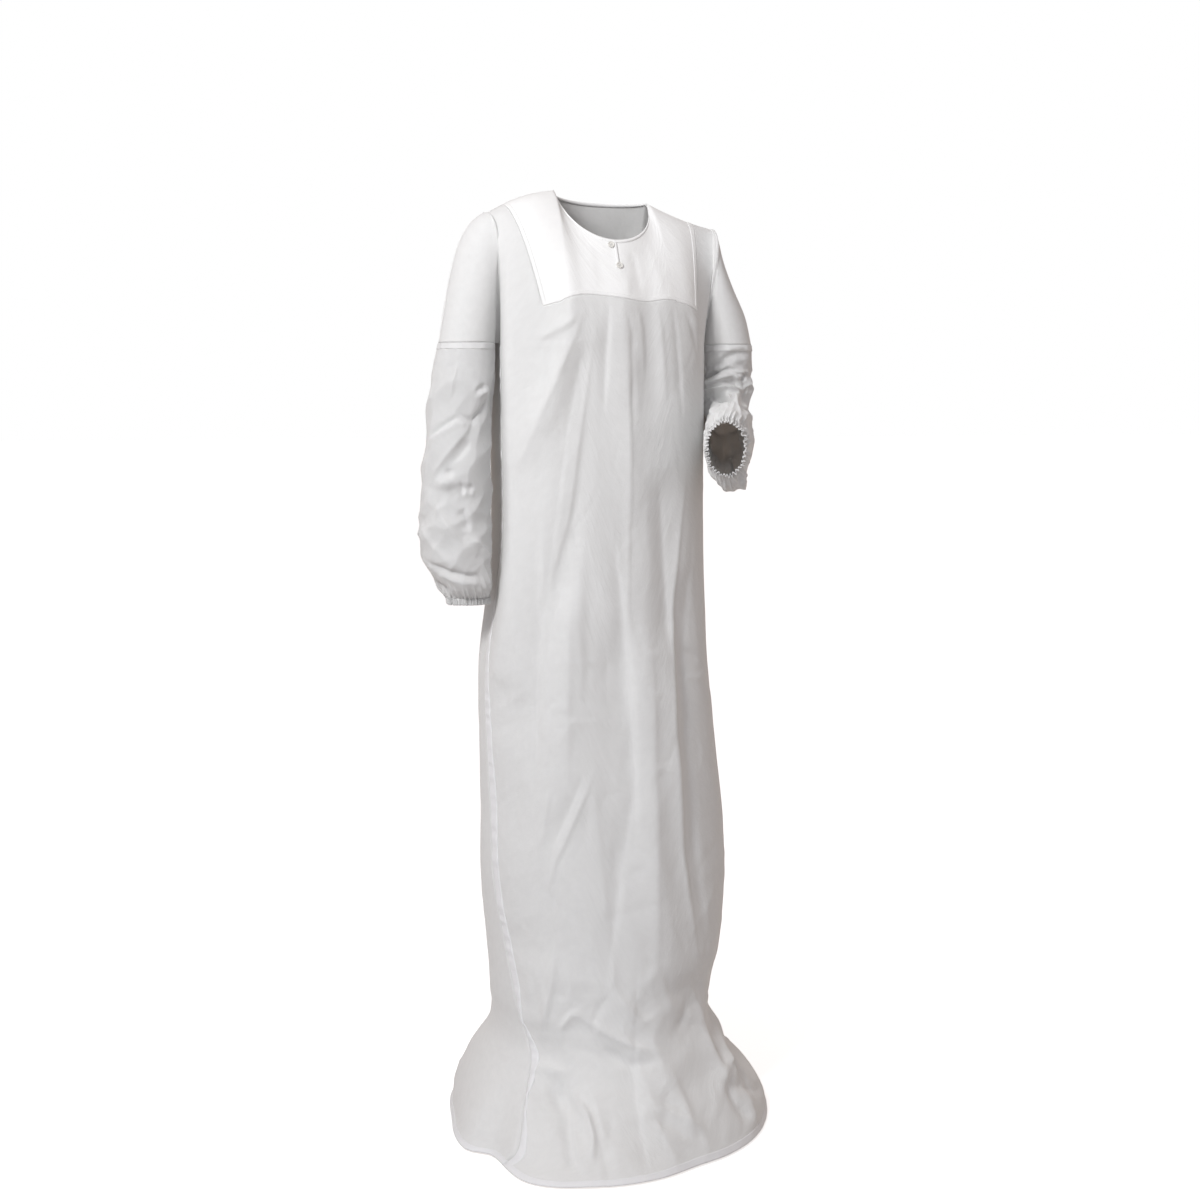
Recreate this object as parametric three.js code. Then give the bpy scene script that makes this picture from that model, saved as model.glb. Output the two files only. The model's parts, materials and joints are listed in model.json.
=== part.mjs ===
import * as THREE from 'three';

// A white cotton jilbab, worn: a long dress with a gathered body under a fitted yoke, dropped
// shoulders, and full sleeves drawn in at the wrists. Millimetres, +Z up, the front faces -Y.
// Every piece is a wall of cloth. Heights are first measured up from the ground that the hem
// lies on, and the whole garment is then lowered so that the origin is between the shoulders.

const WALL = 2;
const SEAM_GAP = 0.3;
const HELD_HEIGHT = 1480;
const ARMHOLE_HEIGHT = 1244;
const HEM_HEIGHT = 3;

const FRONT = -1;
const BACK = 1;
const RIGHT = -1;
const LEFT = 1;

const NECK = { halfWidth: 77, front: { depth: 80, height: 1402 }, back: { depth: 50, height: 1470 } };
const NECK_SIDES = { right: 1480, left: 1471 };
const SHOULDER = {
  tip: 187,
  height: 1438,
  slopeEnd: 184,
  slopeShare: 0.8,
  rounding: 2,
  drop: 0.045,
  fullDropFrom: 1400,
};
const SHOULDER_BOW = { right: 7, left: -4 };
const NECK_SHARE = 0.42;
const UNDERARM = { inner: 174, y: 6, frontDepth: 52, backDepth: 56 };
const VALLEY_DEPTH = 52;

// How quickly the cloth takes on its full size on the way down; a lower power is quicker.
const POWER = { chestWidth: 0.8, chestMiddle: 1, chestSide: 0.5, armSide: 0.6, armDepth: 0.4, valley: 0.5 };
const VALLEY_EDGE = { chest: 8, arm: 2 };

// The body's level rings, from the armholes down to the hem.
const BODY_RINGS = [
  { z: 1244, half: 165, front: 125, back: 100, shift: 0, box: 1 },
  { z: 1100, half: 164, front: 132, back: 105, shift: 0, box: 1 },
  { z: 950, half: 163, front: 141, back: 113, shift: 0, box: 1 },
  { z: 838, half: 171, front: 150, back: 121, shift: -4, box: 0.8 },
  { z: 744, half: 184, front: 158, back: 128, shift: -10, box: 0.35 },
  { z: 670, half: 191, front: 165, back: 134, shift: -8, box: 0.1 },
  { z: 505, half: 198, front: 180, back: 146, shift: 1, box: 0 },
  { z: 400, half: 199, front: 191, back: 153, shift: 2, box: 0 },
  { z: 272, half: 190, front: 205, back: 161, shift: 3, box: 0 },
  { z: 204, half: 180, front: 213, back: 167, shift: -3, box: 0 },
  { z: 170, half: 176, front: 222, back: 173, shift: -2, box: 0 },
  { z: 136, half: 187, front: 240, back: 185, shift: 5, box: 0 },
  { z: 102, half: 205, front: 262, back: 203, shift: 2, box: 0 },
  { z: 68, half: 232, front: 290, back: 228, shift: 9, box: 0 },
  { z: 34, half: 251, front: 322, back: 258, shift: 15, box: 0 },
  { z: 12, half: 258, front: 342, back: 277, shift: 17, box: 0 },
  { z: 3, half: 262, front: 350, back: 285, shift: 17, box: 0 },
];
const BOX_SHARE = { right: 1, left: 0.2 };

// The hem spreads unevenly over the ground: how far out it lies, by the turn from the middle of
// the front, with the wearer's right negative.
const HEM_SPREAD = [
  { turn: -180, reach: 1 },
  { turn: -120, reach: 1 },
  { turn: -90, reach: 1.03 },
  { turn: -68, reach: 1.17 },
  { turn: -60, reach: 1.1 },
  { turn: -44, reach: 1.24 },
  { turn: -26, reach: 1.14 },
  { turn: -8, reach: 1.03 },
  { turn: 8, reach: 0.94 },
  { turn: 20, reach: 0.925 },
  { turn: 50, reach: 0.93 },
  { turn: 70, reach: 0.95 },
  { turn: 95, reach: 1 },
  { turn: 180, reach: 1 },
];
const HEM_SPREAD_BELOW = 110;

// Half of the body's front at the chest, from the middle (turn 0) round to the side (turn 1).
// The cloth falls from the tip of the shoulder in a ridge, and goes back from it to the side.
const FRONT_SHAPE = [
  { turn: 0, across: 0, out: 1 },
  { turn: 0.25, across: 0.34, out: 0.985 },
  { turn: 0.5, across: 0.68, out: 0.9 },
  { turn: 0.7, across: 0.94, out: 0.73 },
  { turn: 0.8, across: 1.05, out: 0.6 },
  { turn: 0.86, across: 1.06, out: 0.45 },
  { turn: 1, across: 1, out: 0 },
];
const BACK_SHAPE = [
  { turn: 0, across: 0, out: 1 },
  { turn: 0.25, across: 0.36, out: 0.99 },
  { turn: 0.5, across: 0.71, out: 0.89 },
  { turn: 0.7, across: 0.94, out: 0.7 },
  { turn: 0.85, across: 1.04, out: 0.4 },
  { turn: 1, across: 1, out: 0 },
];

// Where the side seams run: the turn from the middle of the front, in degrees, at each height.
const SIDE_SEAMS = [
  { z: 1244, right: 90, left: 90 },
  { z: 838, right: 90, left: 91 },
  { z: 744, right: 84, left: 92 },
  { z: 570, right: 79, left: 94 },
  { z: 385, right: 75, left: 96 },
  { z: 238, right: 66, left: 98 },
  { z: 153, right: 59, left: 99 },
  { z: 90, right: 52, left: 100 },
  { z: 30, right: 49, left: 100 },
  { z: 3, right: 54, left: 100 },
];

// The fold over the arm, from the tip of the shoulder (down 0) to the armhole (down 1): how far
// out it is on each side.
const OVERARM = [
  { down: 0, right: 190, left: 189 },
  { down: 0.07, right: 207, left: 192 },
  { down: 0.15, right: 219, left: 196 },
  { down: 0.27, right: 230, left: 203 },
  { down: 0.5, right: 243, left: 222 },
  { down: 0.75, right: 253, left: 244 },
  { down: 1, right: 261, left: 256 },
];

// The yoke's seam: where it crosses the cloth's turn from the middle to the side.
const YOKE = { topTurn: { right: 0.78, left: 0.74 }, bottomTurn: { right: 0.54, left: 0.61 }, hemDown: 0.85 };
const YOKE_HEM = [
  { across: -1, height: 1297 },
  { across: -0.5, height: 1312 },
  { across: -0.1, height: 1313 },
  { across: 0.25, height: 1307 },
  { across: 0.5, height: 1311 },
  { across: 0.8, height: 1307 },
  { across: 1, height: 1297 },
];

// Folds in the body's cloth: each runs from its top to its bottom, given by how far it is
// across and its height, and stands out (or sinks in, where it is negative) over its width.
const FRONT_FOLDS = [
  { top: [-56, 1306], bottom: [-162, 1040], width: 24, out: 9 },
  { top: [-50, 1300], bottom: [-141, 600], width: 22, out: -9 },
  { top: [-40, 1306], bottom: [-126, 850], width: 22, out: 8 },
  { top: [-5, 1306], bottom: [6, 960], width: 26, out: 6 },
  { top: [44, 1302], bottom: [50, 1120], width: 26, out: -6 },
  { top: [120, 1300], bottom: [142, 1180], width: 22, out: 6 },
  { top: [60, 1050], bottom: [78, 690], width: 26, out: -7 },
  { top: [-160, 720], bottom: [-166, 440], width: 24, out: -6 },
  { top: [-92, 870], bottom: [-102, 500], width: 28, out: 6 },
  { top: [-2, 820], bottom: [-50, 240], width: 36, out: -8 },
  { top: [34, 830], bottom: [34, 220], width: 26, out: 7 },
  { top: [76, 810], bottom: [84, 380], width: 24, out: 7 },
  { top: [118, 900], bottom: [126, 420], width: 28, out: -6 },
  { top: [-150, 300], bottom: [-190, 30], width: 34, out: 9 },
  { top: [-90, 260], bottom: [-120, 30], width: 36, out: -8 },
  { top: [90, 260], bottom: [130, 30], width: 40, out: -9 },
];
const BACK_FOLDS = [
  { top: [-110, 1330], bottom: [-128, 620], width: 24, out: 8 },
  { top: [-72, 1300], bottom: [-78, 420], width: 26, out: -9 },
  { top: [-30, 1320], bottom: [-34, 300], width: 26, out: 8 },
  { top: [12, 1300], bottom: [6, 640], width: 26, out: -8 },
  { top: [52, 1310], bottom: [66, 240], width: 26, out: 8 },
  { top: [96, 1300], bottom: [106, 520], width: 24, out: -8 },
  { top: [130, 1290], bottom: [138, 560], width: 20, out: 7 },
  { top: [-60, 380], bottom: [-110, 60], width: 36, out: 9 },
  { top: [30, 330], bottom: [60, 50], width: 38, out: -9 },
  { top: [120, 300], bottom: [150, 60], width: 34, out: 8 },
];

// The sleeves' rings, down from the armhole. Each ring's middle and its four reaches: towards
// the body, away from it, to the front (the upper side of the bent arm) and to the back.
const SLEEVE_RIGHT_RINGS = [
  { x: -222, y: 0, z: 1195, inner: 46, outer: 52, front: 52, back: 56, lean: 0, turn: 0, gather: 0 },
  { x: -228, y: 0, z: 1130, inner: 47, outer: 54, front: 55, back: 57, lean: 0, turn: 0, gather: 0 },
  { x: -233, y: -2, z: 1070, inner: 49, outer: 56, front: 58, back: 57, lean: 0, turn: 0, gather: 0 },
  { x: -237, y: -5, z: 1010, inner: 52, outer: 58, front: 61, back: 57, lean: 0, turn: 0, gather: 0 },
  { x: -240, y: -9, z: 950, inner: 55, outer: 57, front: 64, back: 59, lean: 0, turn: 0, gather: 0.01 },
  { x: -239, y: -13, z: 912, inner: 54, outer: 54, front: 66, back: 60, lean: 0, turn: 0, gather: 0.02 },
  { x: -237, y: -16, z: 886, inner: 50, outer: 46, front: 63, back: 58, lean: 0, turn: 0, gather: 0.035 },
  { x: -233, y: -18, z: 866, inner: 44, outer: 37, front: 55, back: 51, lean: 0, turn: 0, gather: 0.05 },
  { x: -227, y: -19, z: 854, inner: 36, outer: 33, front: 43, back: 41, lean: 0, turn: 0, gather: 0.06 },
  { x: -224, y: -20, z: 848, inner: 30, outer: 31, front: 34, back: 32, lean: 0, turn: 0, gather: 0.05 },
];
const SLEEVE_LEFT_RINGS = [
  { x: 216, y: 4, z: 1212, inner: 41, outer: 42, front: 50, back: 58, lean: 8, turn: 0, gather: 0 },
  { x: 217, y: 4, z: 1180, inner: 42, outer: 38, front: 48, back: 64, lean: 22, turn: 2, gather: 0 },
  { x: 217, y: -4, z: 1152, inner: 42, outer: 32, front: 44, back: 68, lean: 40, turn: 6, gather: 0 },
  { x: 213, y: -26, z: 1128, inner: 42, outer: 27, front: 42, back: 66, lean: 60, turn: 12, gather: 0 },
  { x: 204, y: -62, z: 1116, inner: 41, outer: 23, front: 44, back: 64, lean: 72, turn: 18, gather: 0 },
  { x: 189, y: -104, z: 1109, inner: 42, outer: 24, front: 46, back: 72, lean: 77, turn: 22, gather: 0.01 },
  { x: 174, y: -142, z: 1102, inner: 43, outer: 27, front: 50, back: 84, lean: 77, turn: 22, gather: 0.02 },
  { x: 161, y: -172, z: 1096, inner: 41, outer: 31, front: 52, back: 86, lean: 77, turn: 22, gather: 0.035 },
  { x: 151, y: -190, z: 1092, inner: 38, outer: 32, front: 50, back: 74, lean: 77, turn: 22, gather: 0.05 },
  { x: 143, y: -200, z: 1089, inner: 33, outer: 32, front: 46, back: 58, lean: 77, turn: 22, gather: 0.06 },
  { x: 138, y: -206, z: 1086, inner: 28, outer: 29, front: 41, back: 46, lean: 77, turn: 22, gather: 0.05 },
];
const CUFF_RIGHT_RINGS = [
  SLEEVE_RIGHT_RINGS[SLEEVE_RIGHT_RINGS.length - 1],
  { x: -223, y: -20, z: 837, inner: 30, outer: 31, front: 33, back: 31, lean: 0, turn: 0, gather: 0.03 },
];
const CUFF_LEFT_RINGS = [
  SLEEVE_LEFT_RINGS[SLEEVE_LEFT_RINGS.length - 1],
  { x: 134, y: -216, z: 1083, inner: 27, outer: 29, front: 39, back: 43, lean: 77, turn: 22, gather: 0.03 },
];
const GATHERS_PER_CUFF = 16;

const NECK_BINDING = { width: 5, thickness: 3.4, corners: 8 };
const SLIT_BOTTOM = 1345;
const BUTTON = {
  radius: 5.2,
  thickness: 2.2,
  rim: 1.1,
  rounding: 0.55,
  dish: 0.8,
  segments: 20,
  clearance: 0.5,
};
const BUTTON_PLACES = {
  button_top: { side: RIGHT, turn: 0.028, down: 0.055 },
  button_lower: { side: LEFT, turn: 0.003, down: 0.255 },
};

// How finely each piece is divided.
const HALF_PANEL_COLUMNS = 14;
const NECK_COLUMN = 5;
const ARM_COLUMNS = 8;
const SLEEVE_STEPS_PER_ARM_COLUMN = 3;
const YOKE_ROWS = 6;
const CHEST_ROWS = 4;
const YOKE_SIDE_COLUMN = 9;
const BODY_LEVELS = [
  1205, 1150, 1085, 1015, 945, 880, 815, 750, 685, 610, 535, 460, 390, 325, 265, 210, 165, 130,
  100, 72, 48, 27, 12, HEM_HEIGHT,
];

const clothMaterial = new THREE.MeshStandardMaterial({ color: 0xebebec, roughness: 0.85, metalness: 0 });
const buttonMaterial = new THREE.MeshStandardMaterial({ color: 0xe4e2dd, roughness: 0.35, metalness: 0 });

const mix = THREE.MathUtils.lerp;
const smooth = THREE.MathUtils.smoothstep;
const radians = THREE.MathUtils.degToRad;

// A value from a table by a curve through its rows; key rises or falls down the rows.
function lookUpCurve(rows, key, at, column) {
  const rising = rows[rows.length - 1][key] > rows[0][key];
  const found = rows.findIndex((row) => (rising ? row[key] >= at : row[key] <= at));
  const next = Math.min(Math.max(found < 0 ? rows.length - 1 : found, 1), rows.length - 1);
  const [b, c] = [rows[next - 1], rows[next]];
  const a = rows[next - 2] ?? b;
  const d = rows[next + 1] ?? c;
  const step = c[key] - b[key];
  const share = THREE.MathUtils.clamp((at - b[key]) / step, 0, 1);
  const slopeIn = ((c[column] - a[column]) / (c[key] - a[key])) * step;
  const slopeOut = ((d[column] - b[column]) / (d[key] - b[key])) * step;
  const s2 = share * share;
  const s3 = s2 * share;
  return (
    (2 * s3 - 3 * s2 + 1) * b[column] +
    (s3 - 2 * s2 + share) * slopeIn +
    (3 * s2 - 2 * s3) * c[column] +
    (s3 - s2) * slopeOut
  );
}

// How far the folds of one face lift the cloth at a place across and up it.
function foldOffset(folds, x, z) {
  let offset = 0;
  for (const { top, bottom, width, out } of folds) {
    const share = (top[1] - z) / (top[1] - bottom[1]);
    if (share <= 0 || share >= 1) continue;
    const middle = mix(top[0], bottom[0], share);
    const away = (x - middle) / width;
    const length = Math.min(1, share * 8) * Math.min(1, (1 - share) * 3);
    offset += out * length * Math.exp(-away * away);
  }
  return offset;
}

// The left shoulder hangs a little lower than the right.
function lowerLeftShoulder(point) {
  const share = smooth(point.z, ARMHOLE_HEIGHT, SHOULDER.fullDropFrom);
  point.z -= SHOULDER.drop * point.x * share;
  return point;
}

const sideName = (side) => (side === RIGHT ? 'right' : 'left');

// A point on the body's level ring at a height, and a turn from the front's middle, in degrees.
function ringPoint(turn, z) {
  const side = Math.sign(turn) || 1;
  const face = Math.abs(turn) <= 90 ? FRONT : BACK;
  const share = face === FRONT ? Math.abs(turn) / 90 : (180 - Math.abs(turn)) / 90;
  const shape = face === FRONT ? FRONT_SHAPE : BACK_SHAPE;
  const box = lookUpCurve(BODY_RINGS, 'z', z, 'box') * BOX_SHARE[sideName(side)];
  const half = lookUpCurve(BODY_RINGS, 'z', z, 'half');
  const depth = lookUpCurve(BODY_RINGS, 'z', z, face === FRONT ? 'front' : 'back');
  const across = mix(Math.sin((share * Math.PI) / 2), lookUpCurve(shape, 'turn', share, 'across'), box);
  const out = mix(Math.cos((share * Math.PI) / 2), lookUpCurve(shape, 'turn', share, 'out'), box);
  const hemReach = lookUpCurve(HEM_SPREAD, 'turn', turn, 'reach');
  const spread = mix(hemReach, 1, Math.min(1, z / HEM_SPREAD_BELOW));
  const x = side * half * across * spread;
  const y = face * depth * out * spread;
  const lift = foldOffset(face === FRONT ? FRONT_FOLDS : BACK_FOLDS, x, z) * out;
  const shift = lookUpCurve(BODY_RINGS, 'z', z, 'shift');
  return new THREE.Vector3(x + shift + (lift * x) / (2 * half), y + face * lift, z);
}

// The top edge of a face: the neckline and then the shoulder line, by the turn to the side.
function topEdgePoint(face, side, turn) {
  const neck = face === FRONT ? NECK.front : NECK.back;
  if (turn <= NECK_SHARE) {
    const angle = (turn / NECK_SHARE) * (Math.PI / 2);
    return new THREE.Vector3(
      side * NECK.halfWidth * Math.sin(angle),
      face * neck.depth * Math.cos(angle),
      mix(neck.height, NECK_SIDES[sideName(side)], 1 - Math.cos(angle)),
    );
  }
  const share = (turn - NECK_SHARE) / (1 - NECK_SHARE);
  const reach = Math.min(1, share / SHOULDER.slopeShare);
  const rounding = Math.max(0, share - SHOULDER.slopeShare) * SHOULDER.rounding;
  const x = mix(NECK.halfWidth, SHOULDER.slopeEnd, reach) + rounding;
  const bow = SHOULDER_BOW[sideName(side)] * Math.sin(Math.PI * reach);
  return new THREE.Vector3(side * x, 0, mix(NECK_SIDES[sideName(side)], SHOULDER.height, reach) + bow);
}

// How far the cloth has rounded out to the armholes' level ring. Down is the share of the way
// from the top edge to that level.
function roundedOut(turn, down) {
  const power = mix(POWER.chestMiddle, POWER.chestSide, smooth(turn, 0, 0.7));
  return Math.sin((Math.PI / 2) * Math.pow(down, power));
}

// The cloth dips between chest and arm; the dip closes at the shoulder's tip and underarm.
function valleyDepth(face, down) {
  return down < 1 ? face * VALLEY_DEPTH * Math.sin(Math.PI * Math.pow(down, POWER.valley)) : 0;
}

// A point on the chest or upper back, above the armholes' level.
function chestPoint(face, side, turn, down) {
  const top = topEdgePoint(face, side, turn);
  const level = ringPoint(side * (face === FRONT ? turn * 90 : 180 - turn * 90), ARMHOLE_HEIGHT);
  const point = new THREE.Vector3();
  point.x = mix(top.x, level.x, Math.pow(down, POWER.chestWidth));
  point.y = mix(top.y, level.y, roundedOut(turn, down));
  point.y += valleyDepth(face, down) * Math.pow(turn, VALLEY_EDGE.chest);
  point.z = mix(top.z, ARMHOLE_HEIGHT, down);
  return lowerLeftShoulder(point);
}

// A point on the cloth over the upper arm, from the valley (share 0) to the overarm (share 1).
function armPoint(face, side, share, down) {
  const outer = lookUpCurve(OVERARM, 'down', down, sideName(side));
  const inner = mix(SHOULDER.tip, UNDERARM.inner, Math.pow(down, POWER.armSide));
  const depth = face === FRONT ? UNDERARM.frontDepth : UNDERARM.backDepth;
  const swell = Math.sin(Math.PI * share) * Math.pow(down, POWER.armDepth);
  const point = new THREE.Vector3();
  point.x = side * mix(inner, outer, (1 - Math.cos(Math.PI * share)) / 2);
  point.y = UNDERARM.y * down * Math.min(1, share * 4) + face * depth * swell;
  point.y += valleyDepth(face, down) * Math.pow(1 - share, VALLEY_EDGE.arm);
  point.z = mix(SHOULDER.height, ARMHOLE_HEIGHT, down);
  return lowerLeftShoulder(point);
}

// The yoke's lower edge, as a share of the way down from the neckline.
function yokeHemDown(face, side, turn, hemTurn) {
  const across = (side * turn) / hemTurn;
  const height = lookUpCurve(YOKE_HEM, 'across', across, 'height');
  const top = topEdgePoint(face, side, turn).z;
  return (top - height) / (top - ARMHOLE_HEIGHT);
}

// The turn at a column that lies between two numbered columns with known turns.
function between(column, [first, firstTurn], [last, lastTurn]) {
  return mix(firstTurn, lastTurn, (column - first) / (last - first));
}

// Columns are numbered from the middle out. One starts where neckline and shoulder meet, and
// one follows the yoke's side seam down to its hem.
function columnTurn(side, column, down) {
  const seamTop = [YOKE_SIDE_COLUMN, YOKE.topTurn[sideName(side)]];
  const seamHem = [YOKE_SIDE_COLUMN, YOKE.bottomTurn[sideName(side)]];
  const neck = [NECK_COLUMN, NECK_SHARE];
  const edge = [HALF_PANEL_COLUMNS, 1];
  if (column > YOKE_SIDE_COLUMN) {
    return mix(between(column, seamTop, edge), between(column, seamHem, edge), Math.min(1, down / YOKE.hemDown));
  }
  const atTop = column > NECK_COLUMN ? between(column, neck, seamTop) : between(column, [0, 0], neck);
  return mix(atTop, between(column, [0, 0], seamHem), Math.min(1, down / YOKE.hemDown));
}

// How far down each of the front's rows is, above the armholes' level.
function frontDown(side, column, row) {
  const hemTurn = YOKE.bottomTurn[sideName(side)];
  const turn = (hemTurn * Math.min(column, YOKE_SIDE_COLUMN)) / YOKE_SIDE_COLUMN;
  const hem = yokeHemDown(FRONT, side, turn, hemTurn);
  if (row <= YOKE_ROWS) return hem * Math.pow(row / YOKE_ROWS, 1.4);
  return mix(hem, 1, (row - YOKE_ROWS) / CHEST_ROWS);
}

const UPPER_ROWS = YOKE_ROWS + CHEST_ROWS;
const LAST_ROW = UPPER_ROWS + BODY_LEVELS.length;

function frontGridPoint(side, column, row) {
  if (row > UPPER_ROWS) {
    const z = BODY_LEVELS[row - UPPER_ROWS - 1];
    const seam = lookUpCurve(SIDE_SEAMS, 'z', z, sideName(side));
    const turn = columnTurn(side, column, 1) * seam;
    return lowerLeftShoulder(ringPoint(side * turn, z));
  }
  if (column > HALF_PANEL_COLUMNS) {
    const share = (column - HALF_PANEL_COLUMNS - 1) / ARM_COLUMNS;
    return armPoint(FRONT, side, share, frontDown(side, HALF_PANEL_COLUMNS, row));
  }
  const down = frontDown(side, column, row);
  return chestPoint(FRONT, side, columnTurn(side, column, down), down);
}

// The back's rows meet the front's at the sides, and each other at the middle of the back.
function backDown(side, column, row) {
  const own = frontDown(side, HALF_PANEL_COLUMNS, row);
  const other = frontDown(-side, HALF_PANEL_COLUMNS, row);
  return mix((own + other) / 2, own, Math.min(1, column / HALF_PANEL_COLUMNS));
}

function backGridPoint(side, column, row) {
  if (row > UPPER_ROWS) {
    const z = BODY_LEVELS[row - UPPER_ROWS - 1];
    const seam = lookUpCurve(SIDE_SEAMS, 'z', z, sideName(side));
    const turn = 180 - (180 - seam) * columnTurn(side, column, 1);
    return lowerLeftShoulder(ringPoint(side * turn, z));
  }
  const down = backDown(side, column, row);
  if (column > HALF_PANEL_COLUMNS) {
    return armPoint(BACK, side, (column - HALF_PANEL_COLUMNS - 1) / ARM_COLUMNS, down);
  }
  return chestPoint(BACK, side, columnTurn(side, column, down), down);
}

// A cloth is its outer points and four-sided cells, each listed anticlockwise from outside.
class Cloth {
  constructor(name, material, isCutAt = () => false) {
    this.name = name;
    this.material = material;
    this.isCutAt = isCutAt;
    this.points = [];
    this.cells = [];
    this.places = new Map();
    this.side = RIGHT;
  }

  // The number of a point: one for all points at a place, or one for each side of a cut there.
  add(point) {
    const place = placeKey(point) + (this.isCutAt(point) ? `,${this.side}` : '');
    if (!this.places.has(place)) {
      this.places.set(place, this.points.length);
      this.points.push(point);
    }
    return this.places.get(place);
  }

  addCell(a, b, c, d) {
    const corners = [a, b, c, d].map((point) => this.add(point));
    const distinct = corners.filter((corner, at) => corner !== corners[(at + 1) % corners.length]);
    if (distinct.length > 2) this.cells.push(distinct);
  }
}

function placeKey(point) {
  const grain = 50;
  return point.toArray().map((value) => Math.round(value * grain)).join();
}

// Cells over a grid of columns and rows; keep says which of them the piece has.
function addGrid(cloth, pointAt, columns, rows, keep = () => true) {
  for (let row = 0; row < rows; row += 1) {
    for (let column = columns[0]; column < columns[1]; column += 1) {
      if (!keep(column, row)) continue;
      const corners = [
        pointAt(column, row + 1),
        pointAt(column + 1, row + 1),
        pointAt(column + 1, row),
        pointAt(column, row),
      ];
      cloth.addCell(...corners);
    }
  }
}

function makeFrontPanel() {
  const cloth = new Cloth('front_panel', clothMaterial);
  for (const side of [RIGHT, LEFT]) {
    const pointAt = (column, row) => frontGridPoint(side, Math.abs(column), row);
    const keep = (column, row) => {
      const inner = side === RIGHT ? -column - 1 : column;
      if (row < YOKE_ROWS && inner < YOKE_SIDE_COLUMN) return false;
      return row < UPPER_ROWS || inner < HALF_PANEL_COLUMNS;
    };
    const widest = HALF_PANEL_COLUMNS + 1 + ARM_COLUMNS;
    addGrid(cloth, pointAt, side === RIGHT ? [-widest, 0] : [0, widest], LAST_ROW, keep);
  }
  return cloth;
}

function makeBackPanel() {
  const cloth = new Cloth('back_panel', clothMaterial);
  for (const side of [RIGHT, LEFT]) {
    const pointAt = (column, row) => backGridPoint(side, Math.abs(column), row);
    const keep = (column, row) => {
      const inner = side === LEFT ? -column - 1 : column;
      return row < UPPER_ROWS || inner < HALF_PANEL_COLUMNS;
    };
    const widest = HALF_PANEL_COLUMNS + 1 + ARM_COLUMNS;
    addGrid(cloth, pointAt, side === LEFT ? [-widest, 0] : [0, widest], LAST_ROW, keep);
  }
  return cloth;
}

function makeFrontYoke() {
  const isOnSlit = (point) => Math.abs(point.x) < SEAM_GAP / 2 && point.z > SLIT_BOTTOM;
  const cloth = new Cloth('front_yoke', clothMaterial, isOnSlit);
  for (const side of [RIGHT, LEFT]) {
    cloth.side = side;
    const pointAt = (column, row) => frontGridPoint(side, Math.abs(column), row);
    addGrid(cloth, pointAt, side === RIGHT ? [-YOKE_SIDE_COLUMN, 0] : [0, YOKE_SIDE_COLUMN], YOKE_ROWS);
  }
  return cloth;
}

// The armhole's points in order: from the underarm round the front to the overarm, and back.
function armholePoints(side) {
  const points = [];
  for (let at = 0; at < ARM_COLUMNS; at += 1) points.push(armPoint(FRONT, side, at / ARM_COLUMNS, 1));
  for (let at = ARM_COLUMNS; at > 0; at -= 1) points.push(armPoint(BACK, side, at / ARM_COLUMNS, 1));
  return points;
}

// The same ring with more points, spread along its straight stretches.
function divideRing(points, steps) {
  return points.flatMap((point, at) => {
    const next = points[(at + 1) % points.length];
    return Array.from({ length: steps }, (_, step) => point.clone().lerp(next, step / steps));
  });
}

// A ring of the sleeve, set out from its middle and reaches.
function sleeveRing(side, row, count) {
  const lean = radians(row.lean);
  const turn = radians(row.turn) * -side;
  const inward = new THREE.Vector3(-side, 0, 0).applyAxisAngle(new THREE.Vector3(0, 0, 1), turn);
  const forward = new THREE.Vector3(0, -Math.cos(lean), Math.sin(lean));
  forward.applyAxisAngle(new THREE.Vector3(0, 0, 1), turn);
  const middle = new THREE.Vector3(row.x, row.y, row.z);
  return Array.from({ length: count }, (_, at) => {
    const angle = (at / count) * 2 * Math.PI;
    const ripple = 1 + row.gather * Math.cos(angle * GATHERS_PER_CUFF);
    const across = Math.cos(angle) * ripple;
    const along = Math.sin(angle) * ripple;
    const point = middle.clone();
    point.addScaledVector(inward, across * (across > 0 ? row.inner : row.outer));
    point.addScaledVector(forward, along * (along > 0 ? row.front : row.back));
    return lowerLeftShoulder(point);
  });
}

// Cells between rings that go round from the underarm by the front.
function addTube(cloth, side, rings) {
  const count = rings[0].length;
  const pointAt = (column, row) => rings[row][(side === RIGHT ? column : count - column) % count];
  addGrid(cloth, pointAt, [0, count], rings.length - 1);
}

function makeSleeve(name, side, rows) {
  const cloth = new Cloth(name, clothMaterial);
  const top = divideRing(armholePoints(side), SLEEVE_STEPS_PER_ARM_COLUMN);
  for (const point of top) point.z -= SEAM_GAP;
  const rings = rows.map((row) => sleeveRing(side, row, top.length));
  addTube(cloth, side, [top, ...rings]);
  return cloth;
}

function makeCuff(name, side, rows) {
  const cloth = new Cloth(name, clothMaterial);
  const count = 2 * ARM_COLUMNS * SLEEVE_STEPS_PER_ARM_COLUMN;
  addTube(cloth, side, rows.map((row) => sleeveRing(side, row, count)));
  return cloth;
}

// The sum of the cells' outward directions at each place, over all the pieces that meet there.
function outwardByPlace(cloths) {
  const outward = new Map();
  for (const { points, cells } of cloths) {
    for (const cell of cells) {
      const [a, b, c] = cell.map((corner) => points[corner]);
      const d = points[cell[cell.length - 1]];
      const diagonal = new THREE.Vector3().subVectors(c, a);
      const across = cell.length > 3 ? new THREE.Vector3().subVectors(d, b) : new THREE.Vector3().subVectors(c, b);
      const normal = diagonal.cross(across);
      for (const corner of cell) {
        const place = placeKey(points[corner]);
        if (!outward.has(place)) outward.set(place, new THREE.Vector3());
        outward.get(place).add(normal);
      }
    }
  }
  for (const normal of outward.values()) normal.normalize();
  return outward;
}

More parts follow.
